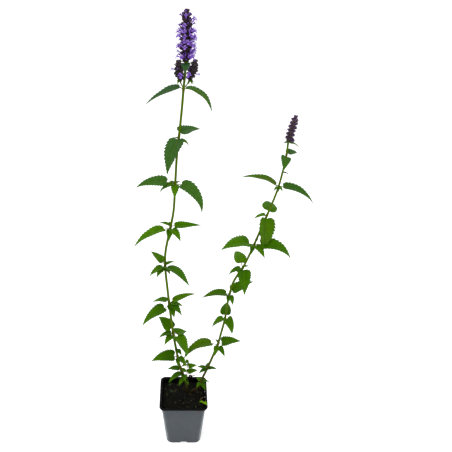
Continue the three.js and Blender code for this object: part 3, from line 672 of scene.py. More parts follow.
class Build:
    """Points, faces and per-point values of one piece, gathered in millimetres.

    The kind of a face is the place of its material in the list that make is given.
    """

    def __init__(self):
        self.points = []
        self.faces = []
        self.kinds = []
        self.values = {}

    def add(self, points, faces, kind=0, **values):
        start = len(self.points)
        self.points.extend(points)
        self.faces.extend(tuple(start + i for i in face) for face in faces)
        self.kinds.extend([kind] * len(faces))
        for name, value in values.items():
            column = self.values.setdefault(name, [])
            column.extend([0.0] * (start - len(column)))
            column.extend(value if isinstance(value, list) else [value] * len(points))

    def make(self, name, materials, replaces=()):
        piece = mesh_object(name, self.points, self.faces)
        mesh = piece.data
        mesh.polygons.foreach_set("material_index", self.kinds)
        mesh.polygons.foreach_set("use_smooth", [True] * len(self.faces))
        for value_name, column in self.values.items():
            column.extend([0.0] * (len(self.points) - len(column)))
            mesh.attributes.new(value_name, "FLOAT", "POINT").data.foreach_set("value", column)
        for material in materials:
            mesh.materials.append(material)
        mesh.update()
        settle(piece, replaces)


def settle(piece, replaces=()):
    """Hides the nodes that a piece stands for, and sets the body that it rides on."""
    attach(piece, "root")
    if replaces:
        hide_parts(*replaces)


def loft(rings, capped=True):
    """Points and faces of a skin over closed rings that have the same number of points."""
    count = len(rings[0])
    points = [point for ring in rings for point in ring]
    faces = []
    for r in range(len(rings) - 1):
        for i in range(count):
            j = (i + 1) % count
            faces.append((r * count + i, r * count + j, (r + 1) * count + j, (r + 1) * count + i))
    if capped:
        faces.append(tuple(reversed(range(count))))
        faces.append(tuple((len(rings) - 1) * count + i for i in range(count)))
    return points, faces


def tube(path, radii, section):
    """A tube along a path. The section lists (angle, share of the radius)."""
    across = Vector((1, 0, 0))
    rings = []
    for i, point in enumerate(path):
        along = (path[min(i + 1, len(path) - 1)] - path[max(i - 1, 0)]).normalized()
        across = across - along * across.dot(along)
        if across.length < NEARLY_ALONG:
            across = Vector((0, 1, 0)).cross(along)
        across.normalize()
        up = along.cross(across)
        rings.append([
            point + (across * cos(angle) + up * sin(angle)) * (radii[i] * share)
            for angle, share in section
        ])
    return loft(rings)


def round_section(sides):
    return [((i + 0.5) / sides * FULL_TURN, 1.0) for i in range(sides)]


def square_section(sides):
    """A rounded square whose corners reach 1."""
    section = []
    for angle, _ in round_section(sides):
        spread = abs(cos(angle)) ** SQUARENESS + abs(sin(angle)) ** SQUARENESS
        section.append((angle, (2 / spread) ** (1 / SQUARENESS) / sqrt(2)))
    return section


def level_ring(radius, level, angles):
    """Points round the Z axis at a level."""
    return [Vector((radius * cos(a), radius * sin(a), level)) for a in angles]


def facing_ring(radius, reach, angles):
    """Points round the Y axis at a reach along it."""
    return [Vector((radius * cos(a), reach, radius * sin(a))) for a in angles]


def curve_points(points, count):
    """Evenly numbered points on a smooth curve through given points."""
    line = [Vector(p) for p in points]
    ends = [line[0] * 2 - line[1]] + line + [line[-1] * 2 - line[-2]]
    last = len(line) - 1
    path = []
    for k in range(count + 1):
        place = k / count * last
        i = min(int(place), last - 1)
        t = place - i
        before, start, end, after = ends[i:i + 4]
        leave = (end - before) * 0.5
        arrive = (after - start) * 0.5
        path.append(
            start + leave * t + (start * -3 + end * 3 - leave * 2 - arrive) * t ** 2
            + (start * 2 - end * 2 + leave + arrive) * t ** 3
        )
    return path


def stem_at(stem, height):
    """The centre of the stem at a height."""
    path = curve_points(stem["points"], len(stem["points"]) * CURVE_STEPS)
    return min(path, key=lambda point: abs(point.z - height))


def reach_at(stem, share):
    """How far the corners of a stem reach at a share of its length."""
    return STEM_FULLNESS * (stem["base"] + (stem["top"] - stem["base"]) * share)


# Materials


def seen_colour(colour):
    """A colour from 0 to 255, as seen, in the shader's linear values."""
    return (*Color([part / BRIGHTEST for part in colour]).from_srgb_to_scene_linear(), 1)


class Look:
    """A principled material that is painted from its recipe."""

    def __init__(self, recipe):
        self.recipe = recipe
        self.masks = {}
        self.material = bpy.data.materials.new(recipe["name"])
        self.material.use_nodes = True
        self.tree = self.material.node_tree
        self.sockets = self.tree.nodes["Principled BSDF"].inputs
        self.sockets["Roughness"].default_value = recipe["rough"]
        self.sockets["Specular IOR Level"].default_value = recipe.get("gloss", PLAIN_GLOSS)
        self.sockets["Specular Tint"].default_value = recipe.get("sheen", WHITE)

    def node(self, kind, inputs=None, **settings):
        made = self.tree.nodes.new("ShaderNode" + kind)
        for name, value in settings.items():
            setattr(made, name, value)
        for key, value in (inputs or {}).items():
            if isinstance(value, bpy.types.NodeSocket):
                self.tree.links.new(value, made.inputs[key])
            else:
                made.inputs[key].default_value = value
        return made

    def value(self, name):
        return self.node("Attribute", attribute_name=name).outputs["Fac"]

    def place(self):
        return self.node("TexCoord").outputs["Object"]

    def sides(self):
        return self.node("SeparateXYZ", {0: self.place()}).outputs

    def noise(self, scale, detail=3, roughness=0.5, stretch=None):
        where = self.place()
        if stretch:
            where = self.node("Mapping", {"Vector": where, "Scale": stretch}).outputs[0]
        inputs = {"Vector": where, "Scale": scale, "Detail": detail, "Roughness": roughness}
        return self.node("TexNoise", inputs).outputs["Fac"]

    def mask(self, source):
        """A mask of the look by its name, a value of the mesh by its name, or noise."""
        if isinstance(source, str):
            return self.masks[source] if source in self.masks else self.value(source)
        return self.noise(*source)

    def math(self, operation, *values):
        return self.node("Math", dict(enumerate(values)), operation=operation).outputs[0]

    def size(self, value):
        return self.math("ABSOLUTE", value)

    def span(self, value, start, full, low=0, high=1):
        inputs = {"Value": value, "From Min": start, "From Max": full, "To Min": low, "To Max": high}
        return self.node("MapRange", inputs).outputs[0]

    def patches(self, source, *limits):
        return self.span(self.mask(source), *limits)

    def mix(self, share, first, second):
        return self.node("Mix", {0: share, 6: first, 7: second}, data_type="RGBA").outputs[2]

    def colour(self, paint):
        if isinstance(paint[0], int):
            return seen_colour(paint)
        source, first, second = paint
        return self.mix(self.mask(source), seen_colour(first), seen_colour(second))

    def distance(self, spot):
        """Distance in metres from a point that is given in millimetres."""
        inputs = {0: self.place(), 1: Vector(spot) * MM}
        return self.node("VectorMath", inputs, operation="DISTANCE").outputs["Value"]

    def paint(self):
        """Lays the recipe's layers over its ground, and joins its roughness and its bump."""
        shade = self.colour(self.recipe["ground"])
        for source, start, full, strength, paint in self.recipe.get("layers", ()):
            cover = self.patches(source, start, full, 0, strength)
            shade = self.mix(cover, shade, self.colour(paint))
        self.tree.links.new(shade, self.sockets["Base Color"])
        if "rough_by" in self.recipe:
            self.tree.links.new(self.patches(*self.recipe["rough_by"]), self.sockets["Roughness"])
        if "bump" in self.recipe:
            source, strength, depth = self.recipe["bump"]
            inputs = {"Height": self.mask(source), "Strength": strength, "Distance": depth}
            self.tree.links.new(self.node("Bump", inputs).outputs[0], self.sockets["Normal"])
        return self.material


def leaf_masks(look):
    """Masks for the veins and the blade's edge, for bronze patches and for the grain."""
    edge = look.size(look.value("across"))
    from_vein = look.size(look.math("SUBTRACT", look.math("FRACT", look.value("vein")), 0.5))
    side_vein = look.span(from_vein, SIDE_VEIN_EDGE, 0.5)
    lines = look.math("MULTIPLY", side_vein, SIDE_VEIN_SHARE)
    lines = look.math("MAXIMUM", lines, look.span(edge, *MIDRIB_EDGES))
    return {
        "from midrib": edge,
        "veins": look.math("MULTIPLY", lines, look.value("blade")),
        "bronze patches": look.math("MULTIPLY", look.value("bronze"), look.patches(*BRONZE_PATCHES)),
        "grain": look.math("MULTIPLY_ADD", side_vein, SIDE_VEIN_DEPTH, look.noise(*LEAF_GRAIN)),
    }


def stem_masks(look):
    height = look.sides()["Z"]
    wave = look.noise(*RED_WAVE)
    return {
        "height": height,
        "uneven height": look.math("MULTIPLY_ADD", wave, RED_WAVE_HEIGHT, height),
    }


def pot_masks(look):
    """Masks for height, a painted highlight line down each rounded corner, and spots of dirt."""
    sides = look.sides()
    x, y = look.size(sides["X"]), look.size(sides["Y"])
    even = look.math("DIVIDE", look.math("MINIMUM", x, y), look.math("MAXIMUM", x, y))
    # A painted highlight down each rounded corner of the pot
    corner_highlight = look.math("MULTIPLY", look.span(even, *CORNER_LINE), look.patches(*CORNER_PATCHES))
    spots = 0.0
    for spot, size in DIRT_SPOTS:
        spots = look.math("MAXIMUM", spots, look.span(look.distance(spot), size * MM, 0))
    dirt = look.math("MULTIPLY", spots, look.patches(*DIRT_GRAIN))
    return {"height": sides["Z"], "painted corner highlight": corner_highlight, "dirt": dirt}


def calyx_recipe(name, dark, light, foot, teeth):
    """A ribbed, downy calyx, greener where it stands on the spike and paler at its teeth."""
    return {
        "name": name, "rough": 0.65, "gloss": 0.12, "ground": ("tone", dark, light),
        "layers": [
            ((420,), 0.45, 0.7, 1, (40, 36, 24)),
            ("age", 0, 1, 1, (64, 48, 58)),
            ("out", 0.35, 0, 0.75, foot),
            ("rib", 0.6, 1, 0.35, (70, 52, 66)),
            ("out", 0.7, 1, 0.5, teeth),
        ],
        "bump": ((1500, 2), 0.4, 0.0002),
    }


def mottled_recipe(name, first, second, scale, rough):
    return {
        "name": name, "rough": rough, "gloss": 0.1, "ground": ((scale,), first, second),
        "bump": ((scale * 3,), 0.3, 0.0004),
    }


def make_looks():
    recipes = dict(LOOKS)
    recipes.update((key, calyx_recipe(*row)) for key, row in CALYX_LOOKS.items())
    recipes.update((key, mottled_recipe(*row)) for key, row in MOTTLED_LOOKS.items())
    masks = {"leaf": leaf_masks, "stem": stem_masks, "pot": pot_masks}
    made = {}
    for key, recipe in recipes.items():
        look = Look(recipe)
        if key in masks:
            look.masks = masks[key](look)
        made[key] = look.paint()
    return made


# Pot


def pot_half(z):
    return POT_BASE_HALF + (POT_TOP_HALF - POT_BASE_HALF) * z / POT_HEIGHT


def rounded_square(z, half, corner):
    """A ring of points round a square with rounded corners, counter-clockwise."""
    ring = []
    flat = half - corner
    for side in range(4):
        turn = side * QUARTER
        centre = Matrix.Rotation(turn, 2) @ Vector((flat, flat))
        for i in range(CORNER_STEPS + 1):
            angle = turn + QUARTER * i / CORNER_STEPS
            ring.append(Vector((
                centre.x + corner * cos(angle), centre.y + corner * sin(angle), z,
            )))
    return ring


def cut(body, tool):
    """Cuts the tool out of the body, and removes the tool."""
    step = body.modifiers.new("cut", "BOOLEAN")
    step.operation = "DIFFERENCE"
    step.solver = "EXACT"
    step.object = tool
    graph = bpy.context.evaluated_depsgraph_get()
    mesh = bpy.data.meshes.new_from_object(body.evaluated_get(graph))
    body.modifiers.clear()
    body.data = mesh
    bpy.data.objects.remove(tool)


def channel_tools():
    """Arched channels that run in under the pot from the middle of each side."""
    arch = [(-CHANNEL_HALF, -OVERLAP), (CHANNEL_HALF, -OVERLAP)]
    for i in range(ARCH_STEPS + 1):
        angle = pi * i / ARCH_STEPS
        arch.append((CHANNEL_HALF * cos(angle), CHANNEL_RISE * sin(angle)))
    tools = []
    for side in range(4):
        turn = Matrix.Rotation(side * QUARTER, 3, "Z")
        rings = [
            [turn @ Vector((x, y, z)) for x, z in arch] for y in (-CHANNEL_INNER, -POT_TOP_HALF)
        ]
        tools.append(mesh_object("channel_tool", *loft(rings)))
    return tools


def drain_tools():
    """Rods that cut the drain holes, between the channels and the middle of the floor."""
    tools = []
    for side in range(4):
        x = DRAIN_REACH * cos(side * QUARTER)
        y = DRAIN_REACH * sin(side * QUARTER)
        rings = [
            [Vector((x + DRAIN_RADIUS * cos(a), y + DRAIN_RADIUS * sin(a), z))
             for a, _ in round_section(DRAIN_SIDES)]
            for z in (-OVERLAP, CHANNEL_RISE + 2 * WALL)
        ]
        tools.append(mesh_object("drain_tool", *loft(rings)))
    return tools


def pot_shell():
    """The outside, the shoulder, the rim and the inside in one skin."""
    top = POT_HEIGHT
    under_rim = top - RIM_DEPTH
    shoulder = top - SHOULDER_DEPTH
    skirt = pot_half(shoulder) + SHOULDER_STEP
    skirt_corner = TOP_CORNER + SHOULDER_STEP
    levels = [
        (BASE_ROUND * rise, POT_BASE_HALF - BASE_ROUND * inset, BASE_CORNER - BASE_ROUND * inset)
        for rise, inset in FOOT_EDGE
    ]
    levels.append((BASE_ROUND, pot_half(BASE_ROUND), BASE_CORNER))
    levels.append((shoulder - SHOULDER_SOFT, pot_half(shoulder), TOP_CORNER))
    levels += [
        (shoulder + SHOULDER_SLOPE * rise, skirt - SHOULDER_STEP * inset, skirt_corner - tighter)
        for rise, inset, tighter in SHOULDER_EDGE
    ]
    levels += [
        (under_rim, skirt, skirt_corner),
        (under_rim, RIM_HALF - RIM_ROUND, RIM_CORNER - RIM_ROUND),
        (under_rim + RIM_ROUND, RIM_HALF, RIM_CORNER),
        (top - RIM_ROUND, RIM_HALF, RIM_CORNER),
        (top - RIM_ROUND * RIM_EDGE, RIM_HALF - RIM_ROUND * RIM_EDGE, RIM_CORNER - RIM_EDGE),
        (top, RIM_HALF - RIM_ROUND, RIM_CORNER - RIM_ROUND),
    ]
    levels += [
        (top - depth, pot_half(top) - WALL + out, TOP_CORNER - tighter)
        for depth, out, tighter in LIP_EDGE
    ]
    levels.append((WALL, pot_half(WALL) - WALL, BASE_CORNER - WALL))
    return mesh_object("pot_walls", *loft([rounded_square(*level) for level in levels]))


def mark_pot(pot):
    """Gives the outside the slate finish, and the rim and the inside the black one."""
    for face in pot.data.polygons:
        centre = face.center / MM
        reach = max(abs(centre.x), abs(centre.y))
        on_rim = centre.z > POT_HEIGHT - RIM_DEPTH - RIM_SPARE and reach > pot_half(POT_HEIGHT)
        facing = Vector((centre.x, centre.y, 0)).dot(face.normal)
        inside = facing < FACING_IN and centre.z > BLACK_FROM
        face.material_index = int(on_rim or inside or centre.z > POT_HEIGHT - BLACK_DEPTH)
        face.use_smooth = True


def make_pot(looks):
    pot = pot_shell()
    for tool in channel_tools() + drain_tools():
        cut(pot, tool)
    pot.data.materials.clear()
    pot.data.materials.append(looks["pot"])
    pot.data.materials.append(looks["pot_inside"])
    mark_pot(pot)
    edges = pot.modifiers.new("edges", "WEIGHTED_NORMAL")
    edges.keep_sharp = True
    settle(pot, ("pot",))


def make_loop(looks):
    """The small moulded loop that stands on the back of the rim."""
    path = []
    for i in range(LOOP_STEPS + 1):
        angle = i / LOOP_STEPS * FULL_TURN
        path.append(Vector((
            LOOP_X + LOOP_RADIUS * cos(angle), RIM_HALF - LOOP_INSET,
            POT_HEIGHT + LOOP_RADIUS - LOOP_SINK + LOOP_RADIUS * sin(angle),
        )))
    loop = Build()
    loop.add(*tube(path, [LOOP_TUBE] * len(path), round_section(LOOP_SIDES)))
    loop.make("pot_loop", [looks["pot_inside"]])


# Compost


def square_reach(direction, half, corner):
    """How far a rounded square reaches from its centre along a direction in plan."""
    x, y = abs(direction[0]), abs(direction[1])
    reach = half / max(x, y)
    flat = half - corner
    if min(x, y) * reach > flat:
        along = flat * (x + y)
        reach = along + sqrt(max(along ** 2 - 2 * flat ** 2 + corner ** 2, 0))
    return reach


def compost_height(x, y):
    relief = 0
    for scale, shift, share in GROUND_WAVES:
        relief += share * noise.fractal(Vector((x, y, 0)) * scale + Vector(shift), *WAVE_SETS)
    return COMPOST_TOP + CRUMB_RELIEF * relief


def compost_ground(build):
    """The uneven top of the compost, which drops a little where it meets the pot."""
    half = pot_half(COMPOST_TOP) - WALL - FIT_GAP
    count = COMPOST_CELLS
    points = []
    for row in range(count + 1):
        for column in range(count + 1):
            a = 2 * column / count - 1
            b = 2 * row / count - 1
            size = max(abs(a), abs(b))
            x, y = 0, 0
            if size:
                direction = (a / hypot(a, b), b / hypot(a, b))
                reach = square_reach(direction, half, TOP_CORNER - WALL) * size
                x, y = direction[0] * reach, direction[1] * reach
            drop = EDGE_DROP * size ** EDGE_POWER
            points.append(Vector((x, y, compost_height(x, y) - drop)))
    faces = []
    for row in range(count):
        for column in range(count):
            a = row * (count + 1) + column
            faces.append((a, a + 1, a + count + 2, a + count + 1))
    build.add(points, faces, 0, tone=0.0)


def lump(rng, centre, size, stretch=(1, 1, 1), turn=None, steps=LUMP_STEPS):
    """An uneven closed lump."""
    around, levels = steps
    if turn is None:
        turn = Quaternion((*(rng.uniform(-1, 1) for _ in range(3)), 1)).normalized()
    rings = []
    for level in range(1, levels):
        slope = pi * level / levels
        ring = []
        for i in range(around):
            angle = FULL_TURN * (i + 0.5 * (level % 2)) / around
            reach = size * rng.uniform(*LUMP_REACH)
            point = Vector((
                sin(slope) * cos(angle) * stretch[0],
                sin(slope) * sin(angle) * stretch[1],
                -cos(slope) * stretch[2],
            ))
            ring.append(Vector(centre) + turn @ (point * reach))
        rings.append(ring)
    return loft(rings)


def make_compost(looks):
    rng = random.Random(COMPOST_SEED)
    build = Build()
    compost_ground(build)
    half = pot_half(COMPOST_TOP) - WALL - CRUMB_INSET
    for _ in range(CRUMBS):
        x, y = rng.uniform(-half, half), rng.uniform(-half, half)
        size = CRUMB_SIZE + CRUMB_SPREAD * rng.random() ** CRUMB_POWER
        centre = (x, y, compost_height(x, y) + CRUMB_LIFT * size)
        build.add(*lump(rng, centre, size), 0, tone=rng.random() ** CRUMB_TONE_POWER)
    for _ in range(BARK_CHIPS):
        x, y = rng.uniform(-half, half) * BARK_REACH, rng.uniform(-half, half) * BARK_REACH
        turn, tilt, size, long, wide = draws(rng, BARK_DRAWS)
        centre = (x, y, compost_height(x, y) + BARK_LIFT)
        lie = Quaternion(UP, turn) @ Quaternion((1, 0, 0), tilt)
        chip = lump(rng, centre, size, (long, wide, BARK_THICK), lie)
        build.add(*chip, 1, tone=rng.random() ** BARK_TONE_POWER)
    build.make("compost_surface", [looks["compost"], looks["bark"]], ("compost",))


def make_litter(looks):
    """The grains, tan bits and twig that lie on the compost and the rim."""
    rng = random.Random(LITTER_SEED)
    build = Build()
    for kind, (stretch, steps, bits) in enumerate(LITTER):
        for *place, size in bits:
            build.add(*lump(rng, place, size, stretch, steps=steps), kind)
    path = curve_points(TWIG, TWIG_STEPS)
    radii = [TWIG_RADIUS * (1 - TWIG_TAPER * i / TWIG_STEPS) for i in range(TWIG_STEPS + 1)]
    build.add(*tube(path, radii, round_section(TWIG_SIDES)), 2)
    build.make("compost_litter", [looks["perlite"], looks["tan"], looks["twig"]])


def fallen_leaves(looks):
    build = Build()
    for i, (place, turn, blade) in enumerate(FALLEN_LEAVES):
        add_blade(build, {
            **FALLEN_LEAF, "root": Vector(place), "turn": turn, "blade": blade,
            "width": blade * FALLEN_WIDTH, "seed": FALLEN_SEED + i,
        })
    build.make("fallen_leaves", [looks["old_leaf"], looks["old_leaf"]])


# Leaves and stems


def leaf_place(leaf, out, rise, slope):
    """A point of a leaf at a reach and rise from its root, with its side and upward directions."""
    turn = radians(leaf["turn"])
    roll = radians(leaf["roll"])
    heading = Vector((cos(turn), sin(turn), 0))
    point = leaf["root"] + heading * out + UP * rise
    flat_side = Vector((-sin(turn), cos(turn), 0))
    flat_up = UP * cos(slope) - heading * sin(slope)
    side = flat_side * cos(roll) + flat_up * sin(roll)
    up = flat_up * cos(roll) - flat_side * sin(roll)
    return point, side, up


def midrib(leaf, past):
    """Where the midrib of a blade runs at a distance past its base."""
    lift = radians(leaf["lift"])
    start = lift - radians(leaf["knee"])
    bend = radians(leaf["droop"]) / leaf["blade"]
    slope = start - bend * past
    out = leaf["petiole"] * cos(lift) + (sin(start) - sin(slope)) / bend
    rise = leaf["petiole"] * sin(lift) + (cos(slope) - cos(start)) / bend
    return leaf_place(leaf, out, rise, slope)


def petiole_at(leaf, distance):
    """Where the petiole runs at a distance from the stem."""
    lift = radians(leaf["lift"])
    return leaf_place(leaf, distance * cos(lift), distance * sin(lift), lift)


def blade_half(leaf, t):
    """Half the width of a blade, from 0 at its base to 1 at its tip."""
    half = leaf["width"] / 2 * OUTLINE_SCALE * t ** BASE_POWER * (1 - t) ** TIP_POWER
    return half + TIP_FULLNESS * leaf["blade"] * t ** TIP_FULLNESS_POWER * (1 - t)


def tooth_rows(leaf):
    """Rows along a blade: the share of its length, the reach of a tooth there and its hook."""
    step = (TEETH_TO - TEETH_FROM) / leaf["teeth"]
    rows = list(BASE_ROWS)
    for tooth in range(leaf["teeth"]):
        for share, reach, hook in TOOTH_ROWS:
            rows.append((TEETH_FROM + step * (tooth + share), reach, hook * step))
    return rows + TIP_ROWS


def blade_rise(leaf, t, c, half, vein, wave):
    """How far a blade stands above its midrib: its fold, bow and ruffle, and quilting by veins."""
    edge = abs(c)
    arch = sin(pi * edge)
    rate, phase = wave
    trough = sqrt(edge ** 2 + TROUGH_ROUND) - TROUGH_DROP
    bow = half * (BOW * arch - EDGE_CURL * edge ** EDGE_CURL_POWER)
    ruffle = RUFFLE * half * sin(FULL_TURN * rate * t + phase) * edge ** 2
    quilt = QUILT * sin(pi * vein) ** 2 * arch * (1 - t) ** QUILT_POWER
    folded = half * sin(radians(leaf["fold"])) * trough
    return folded + bow + ruffle + quilt * leaf["blade"] / QUILT_LENGTH


def blade_grid(leaf):
    """Upper points of a blade with, for each, its place along, across and among the veins."""
    spread = cos(radians(leaf["fold"]))
    rng = random.Random(leaf["seed"])
    waves = [draws(rng, RUFFLE_DRAWS) for _ in range(2)]
    points, marks = [], []
    for t, tooth, hook in tooth_rows(leaf):
        plain = blade_half(leaf, t)
        lobe = LOBE * plain * (1 - t) ** LOBE_POWER
        for c in leaf["columns"]:
            edge = abs(c)
            half = plain * (1 + 2 * TOOTH_DEPTH * tooth * edge ** TOOTH_POWER)
            forward = leaf["blade"] * TOOTH_HOOK * hook * edge ** TOOTH_POWER
            point, side, up = midrib(leaf, leaf["blade"] * t - lobe * edge + forward)
            vein = VEINS * (t - VEIN_SLANT * edge * half / leaf["blade"]) + VEIN_SHIFT
            rise = blade_rise(leaf, t, c, half, vein, waves[0 if c < 0 else 1])
            points.append(point + side * (half * spread * c) + up * rise)
            marks.append((t, c, vein, up))
    return points, marks


def add_blade(build, leaf):
    """The upper and lower faces of a blade, and the rim between them."""
    points, marks = blade_grid(leaf)
    columns = len(leaf["columns"])
    rows = len(points) // columns
    faces = []
    for row in range(rows - 1):
        for column in range(columns - 1):
            a = row * columns + column
            faces.append((a, a + columns, a + columns + 1, a + 1))
    along, across, vein, ups = map(list, zip(*marks))
    below = [point - up * BLADE_THICK for point, up in zip(points, ups)]
    values = {"tone": leaf["tone"], "age": leaf["age"], "blade": 1.0}
    marked = {
        **values, "along": along, "across": across, "vein": vein, "bronze": leaf["bronze"],
    }
    build.add(points, faces, 1, under=0.0, **marked)
    build.add(below, [tuple(reversed(face)) for face in faces], 1, under=1.0, **marked)
    edge = list(range(columns))
    edge += [row * columns + columns - 1 for row in range(1, rows)]
    edge += [(rows - 1) * columns + column for column in range(columns - 2, -1, -1)]
    edge += [row * columns for row in range(rows - 2, 0, -1)]
    count = len(edge)
    rim = [points[i] for i in edge] + [below[i] for i in edge]
    sides = [(i, (i + 1) % count, count + (i + 1) % count, count + i) for i in range(count)]
    build.add(rim, sides, 1, across=1.0, **values)


def add_rib(build, leaf):
    """The petiole, which runs on as the midrib under the blade."""
    thick = PETIOLE_RADIUS * (1 if leaf["large"] else YOUNG_PETIOLE_SHARE)
    shares = [i / PETIOLE_STEPS for i in range(PETIOLE_STEPS)]
    path = [petiole_at(leaf, leaf["petiole"] * share)[0] for share in shares]
    radii = [thick + RIB_SPARE] * PETIOLE_STEPS
    steps = LARGE_RIB_STEPS if leaf["large"] else YOUNG_RIB_STEPS
    for i in range(steps + 1):
        share = RIB_REACH * i / steps
        point, _, up = midrib(leaf, leaf["blade"] * share)
        radius = thick * RIB_SHARE * (1 - share) ** RIB_POWER + RIB_SPARE
        sink = (BLADE_THICK + radius * RIB_SINK) * min(1, RIB_SINK_RATE * share)
        path.append(point - up * sink)
        radii.append(radius)
    build.add(*tube(path, radii, round_section(RIB_SIDES)), 0, stalk=1.0, joint=0.0)


def leaf_age(height):
    """From 0, bright and low on the plant, to 1, dark and near the flowers."""
    return min(max((height - AGE_FROM) / AGE_HEIGHT, 0), 1)


def grown_leaf(stem, row, seed):
    height, turn, blade, width, petiole, lift, droop, roll, *own_knee = row
    rng = random.Random(seed)
    leaf = {
        **PLAIN_LEAF, "root": stem_at(stem, height), "turn": turn, "blade": blade,
        "width": width, "petiole": petiole, "lift": lift, "droop": droop, "roll": roll,
        "fold": FOLD, "seed": seed, "tone": rng.random(),
        "age": leaf_age(height) * rng.uniform(*AGE_JITTER),
        "bronze": BRONZE_LEAVES.get((height, turn), 0.0),
    }
    if own_knee:
        leaf["knee"] = own_knee[0]
    if blade >= SMALL_BLADE:
        leaf.update(LARGE_LEAF)
    return leaf


def young_leaf(stem, row, seed):
    height, turn, blade, lift = row
    return {
        **PLAIN_LEAF, "root": stem_at(stem, height), "turn": turn, "blade": blade,
        "width": YOUNG_WIDTH * blade, "petiole": YOUNG_PETIOLE_FOOT + YOUNG_PETIOLE * blade,
        "lift": lift, "droop": YOUNG_DROOP, "fold": YOUNG_FOLD, "seed": seed,
        "tone": random.Random(seed).random(), "age": leaf_age(height) * YOUNG_AGE,
        "bronze": BRONZE_LEAVES.get((height, turn), 0.0),
    }


def add_stem(build, stem, joints):
    """A square stem, a little swollen and redder at its leaf joints."""
    count = STEM_STEPS * len(stem["points"])
    path = curve_points(stem["points"], count)
    section = square_section(STEM_SIDES)
    radii, redness = [], []
    for i, point in enumerate(path):
        near = max([1 - abs(point.z - joint) / JOINT_REACH for joint in joints] + [0])
        radii.append(reach_at(stem, i / count) * (1 + JOINT_SWELL * near))
        redness += [near] * STEM_SIDES
    build.add(*tube(path, radii, section), 0, joint=redness, stalk=0.0)


def add_hairs(build, stem, seed):
    """Fine short hairs on a stem, each a thin three-sided spike."""
    rng = random.Random(seed)
    path = curve_points(stem["points"], HAIR_STEPS * len(stem["points"]))
    visible = [i for i in range(1, len(path)) if path[i].z > HAIR_FROM]
    bare = sum((path[i] - path[i - 1]).length for i in visible)
    for _ in range(int(bare * HAIRS_PER_MM)):
        i = rng.choice(visible)
        point = path[i - 1].lerp(path[i], rng.random())
        along = (path[i] - path[i - 1]).normalized()
        out = along.orthogonal().normalized()
        turn, slant, length = draws(rng, HAIR_DRAWS)
        out.rotate(Quaternion(along, turn))
        foot = point + out * reach_at(stem, i / len(path)) * HAIR_ROOT
        tip = foot + (out + along * slant) * length
        across = out.cross(along) * HAIR_HALF
        behind = foot - across * 0.5
        high, low = behind + along * HAIR_HALF, behind - along * HAIR_HALF
        build.add([foot + across, high, low, tip], [(0, 1, 3), (1, 2, 3), (2, 0, 3)], 2)


def leafy_stem(looks, name, node, slot, stem, grown, young, stalks, seed):
    build = Build()
    joints = {row[0] for row in grown} | {row[0] for row in young if row[2] > JOINT_BLADE}
    add_stem(build, stem, joints)
    for path in stalks:
        points = curve_points(path, STALK_STEPS)
        skin = tube(points, [STALK_RADIUS] * len(points), square_section(STALK_SIDES))
        build.add(*skin, 0, stalk=STALK_TONE, joint=0.0)
    leaves = [grown_leaf(stem, row, seed + i) for i, row in enumerate(grown)]
    leaves += [young_leaf(stem, row, seed + YOUNG_SEED_STEP + i) for i, row in enumerate(young)]
    for leaf in leaves:
        add_blade(build, leaf)
        add_rib(build, leaf)
    if stem["hairy"]:
        add_hairs(build, stem, seed)
    build.make(name, looks, (node,))


# Flower spikes


def spike_radius(spike, t):
    """Radius of a flower spike from its foot, 0, to its tip, 1."""
    swell = sin(QUARTER * min(1, t / WIDEST_AT))
    narrow = 1 - NARROWING * t ** NARROWING_POWER
    return spike["wide"] * (FOOT_SHARE + (1 - FOOT_SHARE) * swell) * narrow


def outwards(turn, rise, reach, level):
    """A placing that turns +Y outwards from a spike's axis, at a reach from it and at a height."""
    return (
        Matrix.Translation((cos(turn) * reach, sin(turn) * reach, level))
        @ Matrix.Rotation(turn - QUARTER, 4, "Z") @ Matrix.Rotation(rise, 4, "X")
    )


def calyx_places(spike, height):
    """Where the calyces of the part's spike stand: placing, length, height share and openness."""
    draw = seeded_draw(spike["seed"])
    places = []
    for ring in range(spike["rings"]):
        t = (ring + RING_START) / (spike["rings"] + RING_SPARE)
        radius = spike_radius(spike, t)
        inner = ROOT_SHARE * radius
        count = max(FEWEST_CALYCES, floor(spike["round"] * (1 - THINNING * t) + 0.5))
        for i in range(count):
            turn = (i + 0.5 * (ring % 2) + TURN_JITTER * next(draw)) / count * FULL_TURN
            rise = RISE_AT_FOOT + RISE_GAIN * t ** RISE_POWER + RISE_JITTER * next(draw)
            rise = radians(rise)
            open_share = spike["open"] * (1 if t < CROWDED_TO else SPARSE_SHARE)
            is_open = next(draw) < open_share and FIRST_OPEN < t < LAST_OPEN
            length = min(LONGEST_SHARE * spike["calyx"], (radius - inner) / cos(rise))
            level = t * height - SINK_SHARE * length * sin(rise)
            places.append((outwards(turn, rise, inner, level), length, t, is_open))
    return places


def calyx_mesh(length, radius):
    """A ribbed tube along +Y with pointed teeth."""
    sides = 2 * CALYX_TEETH
    angles = [FULL_TURN * i / sides for i in range(sides)]
    rings, out, rib = [], [], []
    for share, reach in CALYX_RINGS:
        valleys, ridges = (
            facing_ring(radius * reach * ridge, length * share, angles) for ridge in CALYX_RIDGES
        )
        rings.append([ridges[i] if i % 2 else valleys[i] for i in range(sides)])
        out += [share] * sides
        rib += [0.0, 1.0] * CALYX_TEETH
    points, faces = loft(rings, capped=False)
    last = (len(CALYX_RINGS) - 1) * sides
    points += facing_ring(radius * CALYX_TOOTH_REACH, length + CALYX_TOOTH, angles[1::2])
    out += [1.0] * CALYX_TEETH
    rib += [1.0] * CALYX_TEETH
    for tooth in range(CALYX_TEETH):
        tip = len(CALYX_RINGS) * sides + tooth
        middle = last + 2 * tooth + 1
        after = last + (2 * tooth + 2) % sides
        faces += [(middle - 1, middle, tip), (middle, after, tip)]
    return points, faces, out, rib


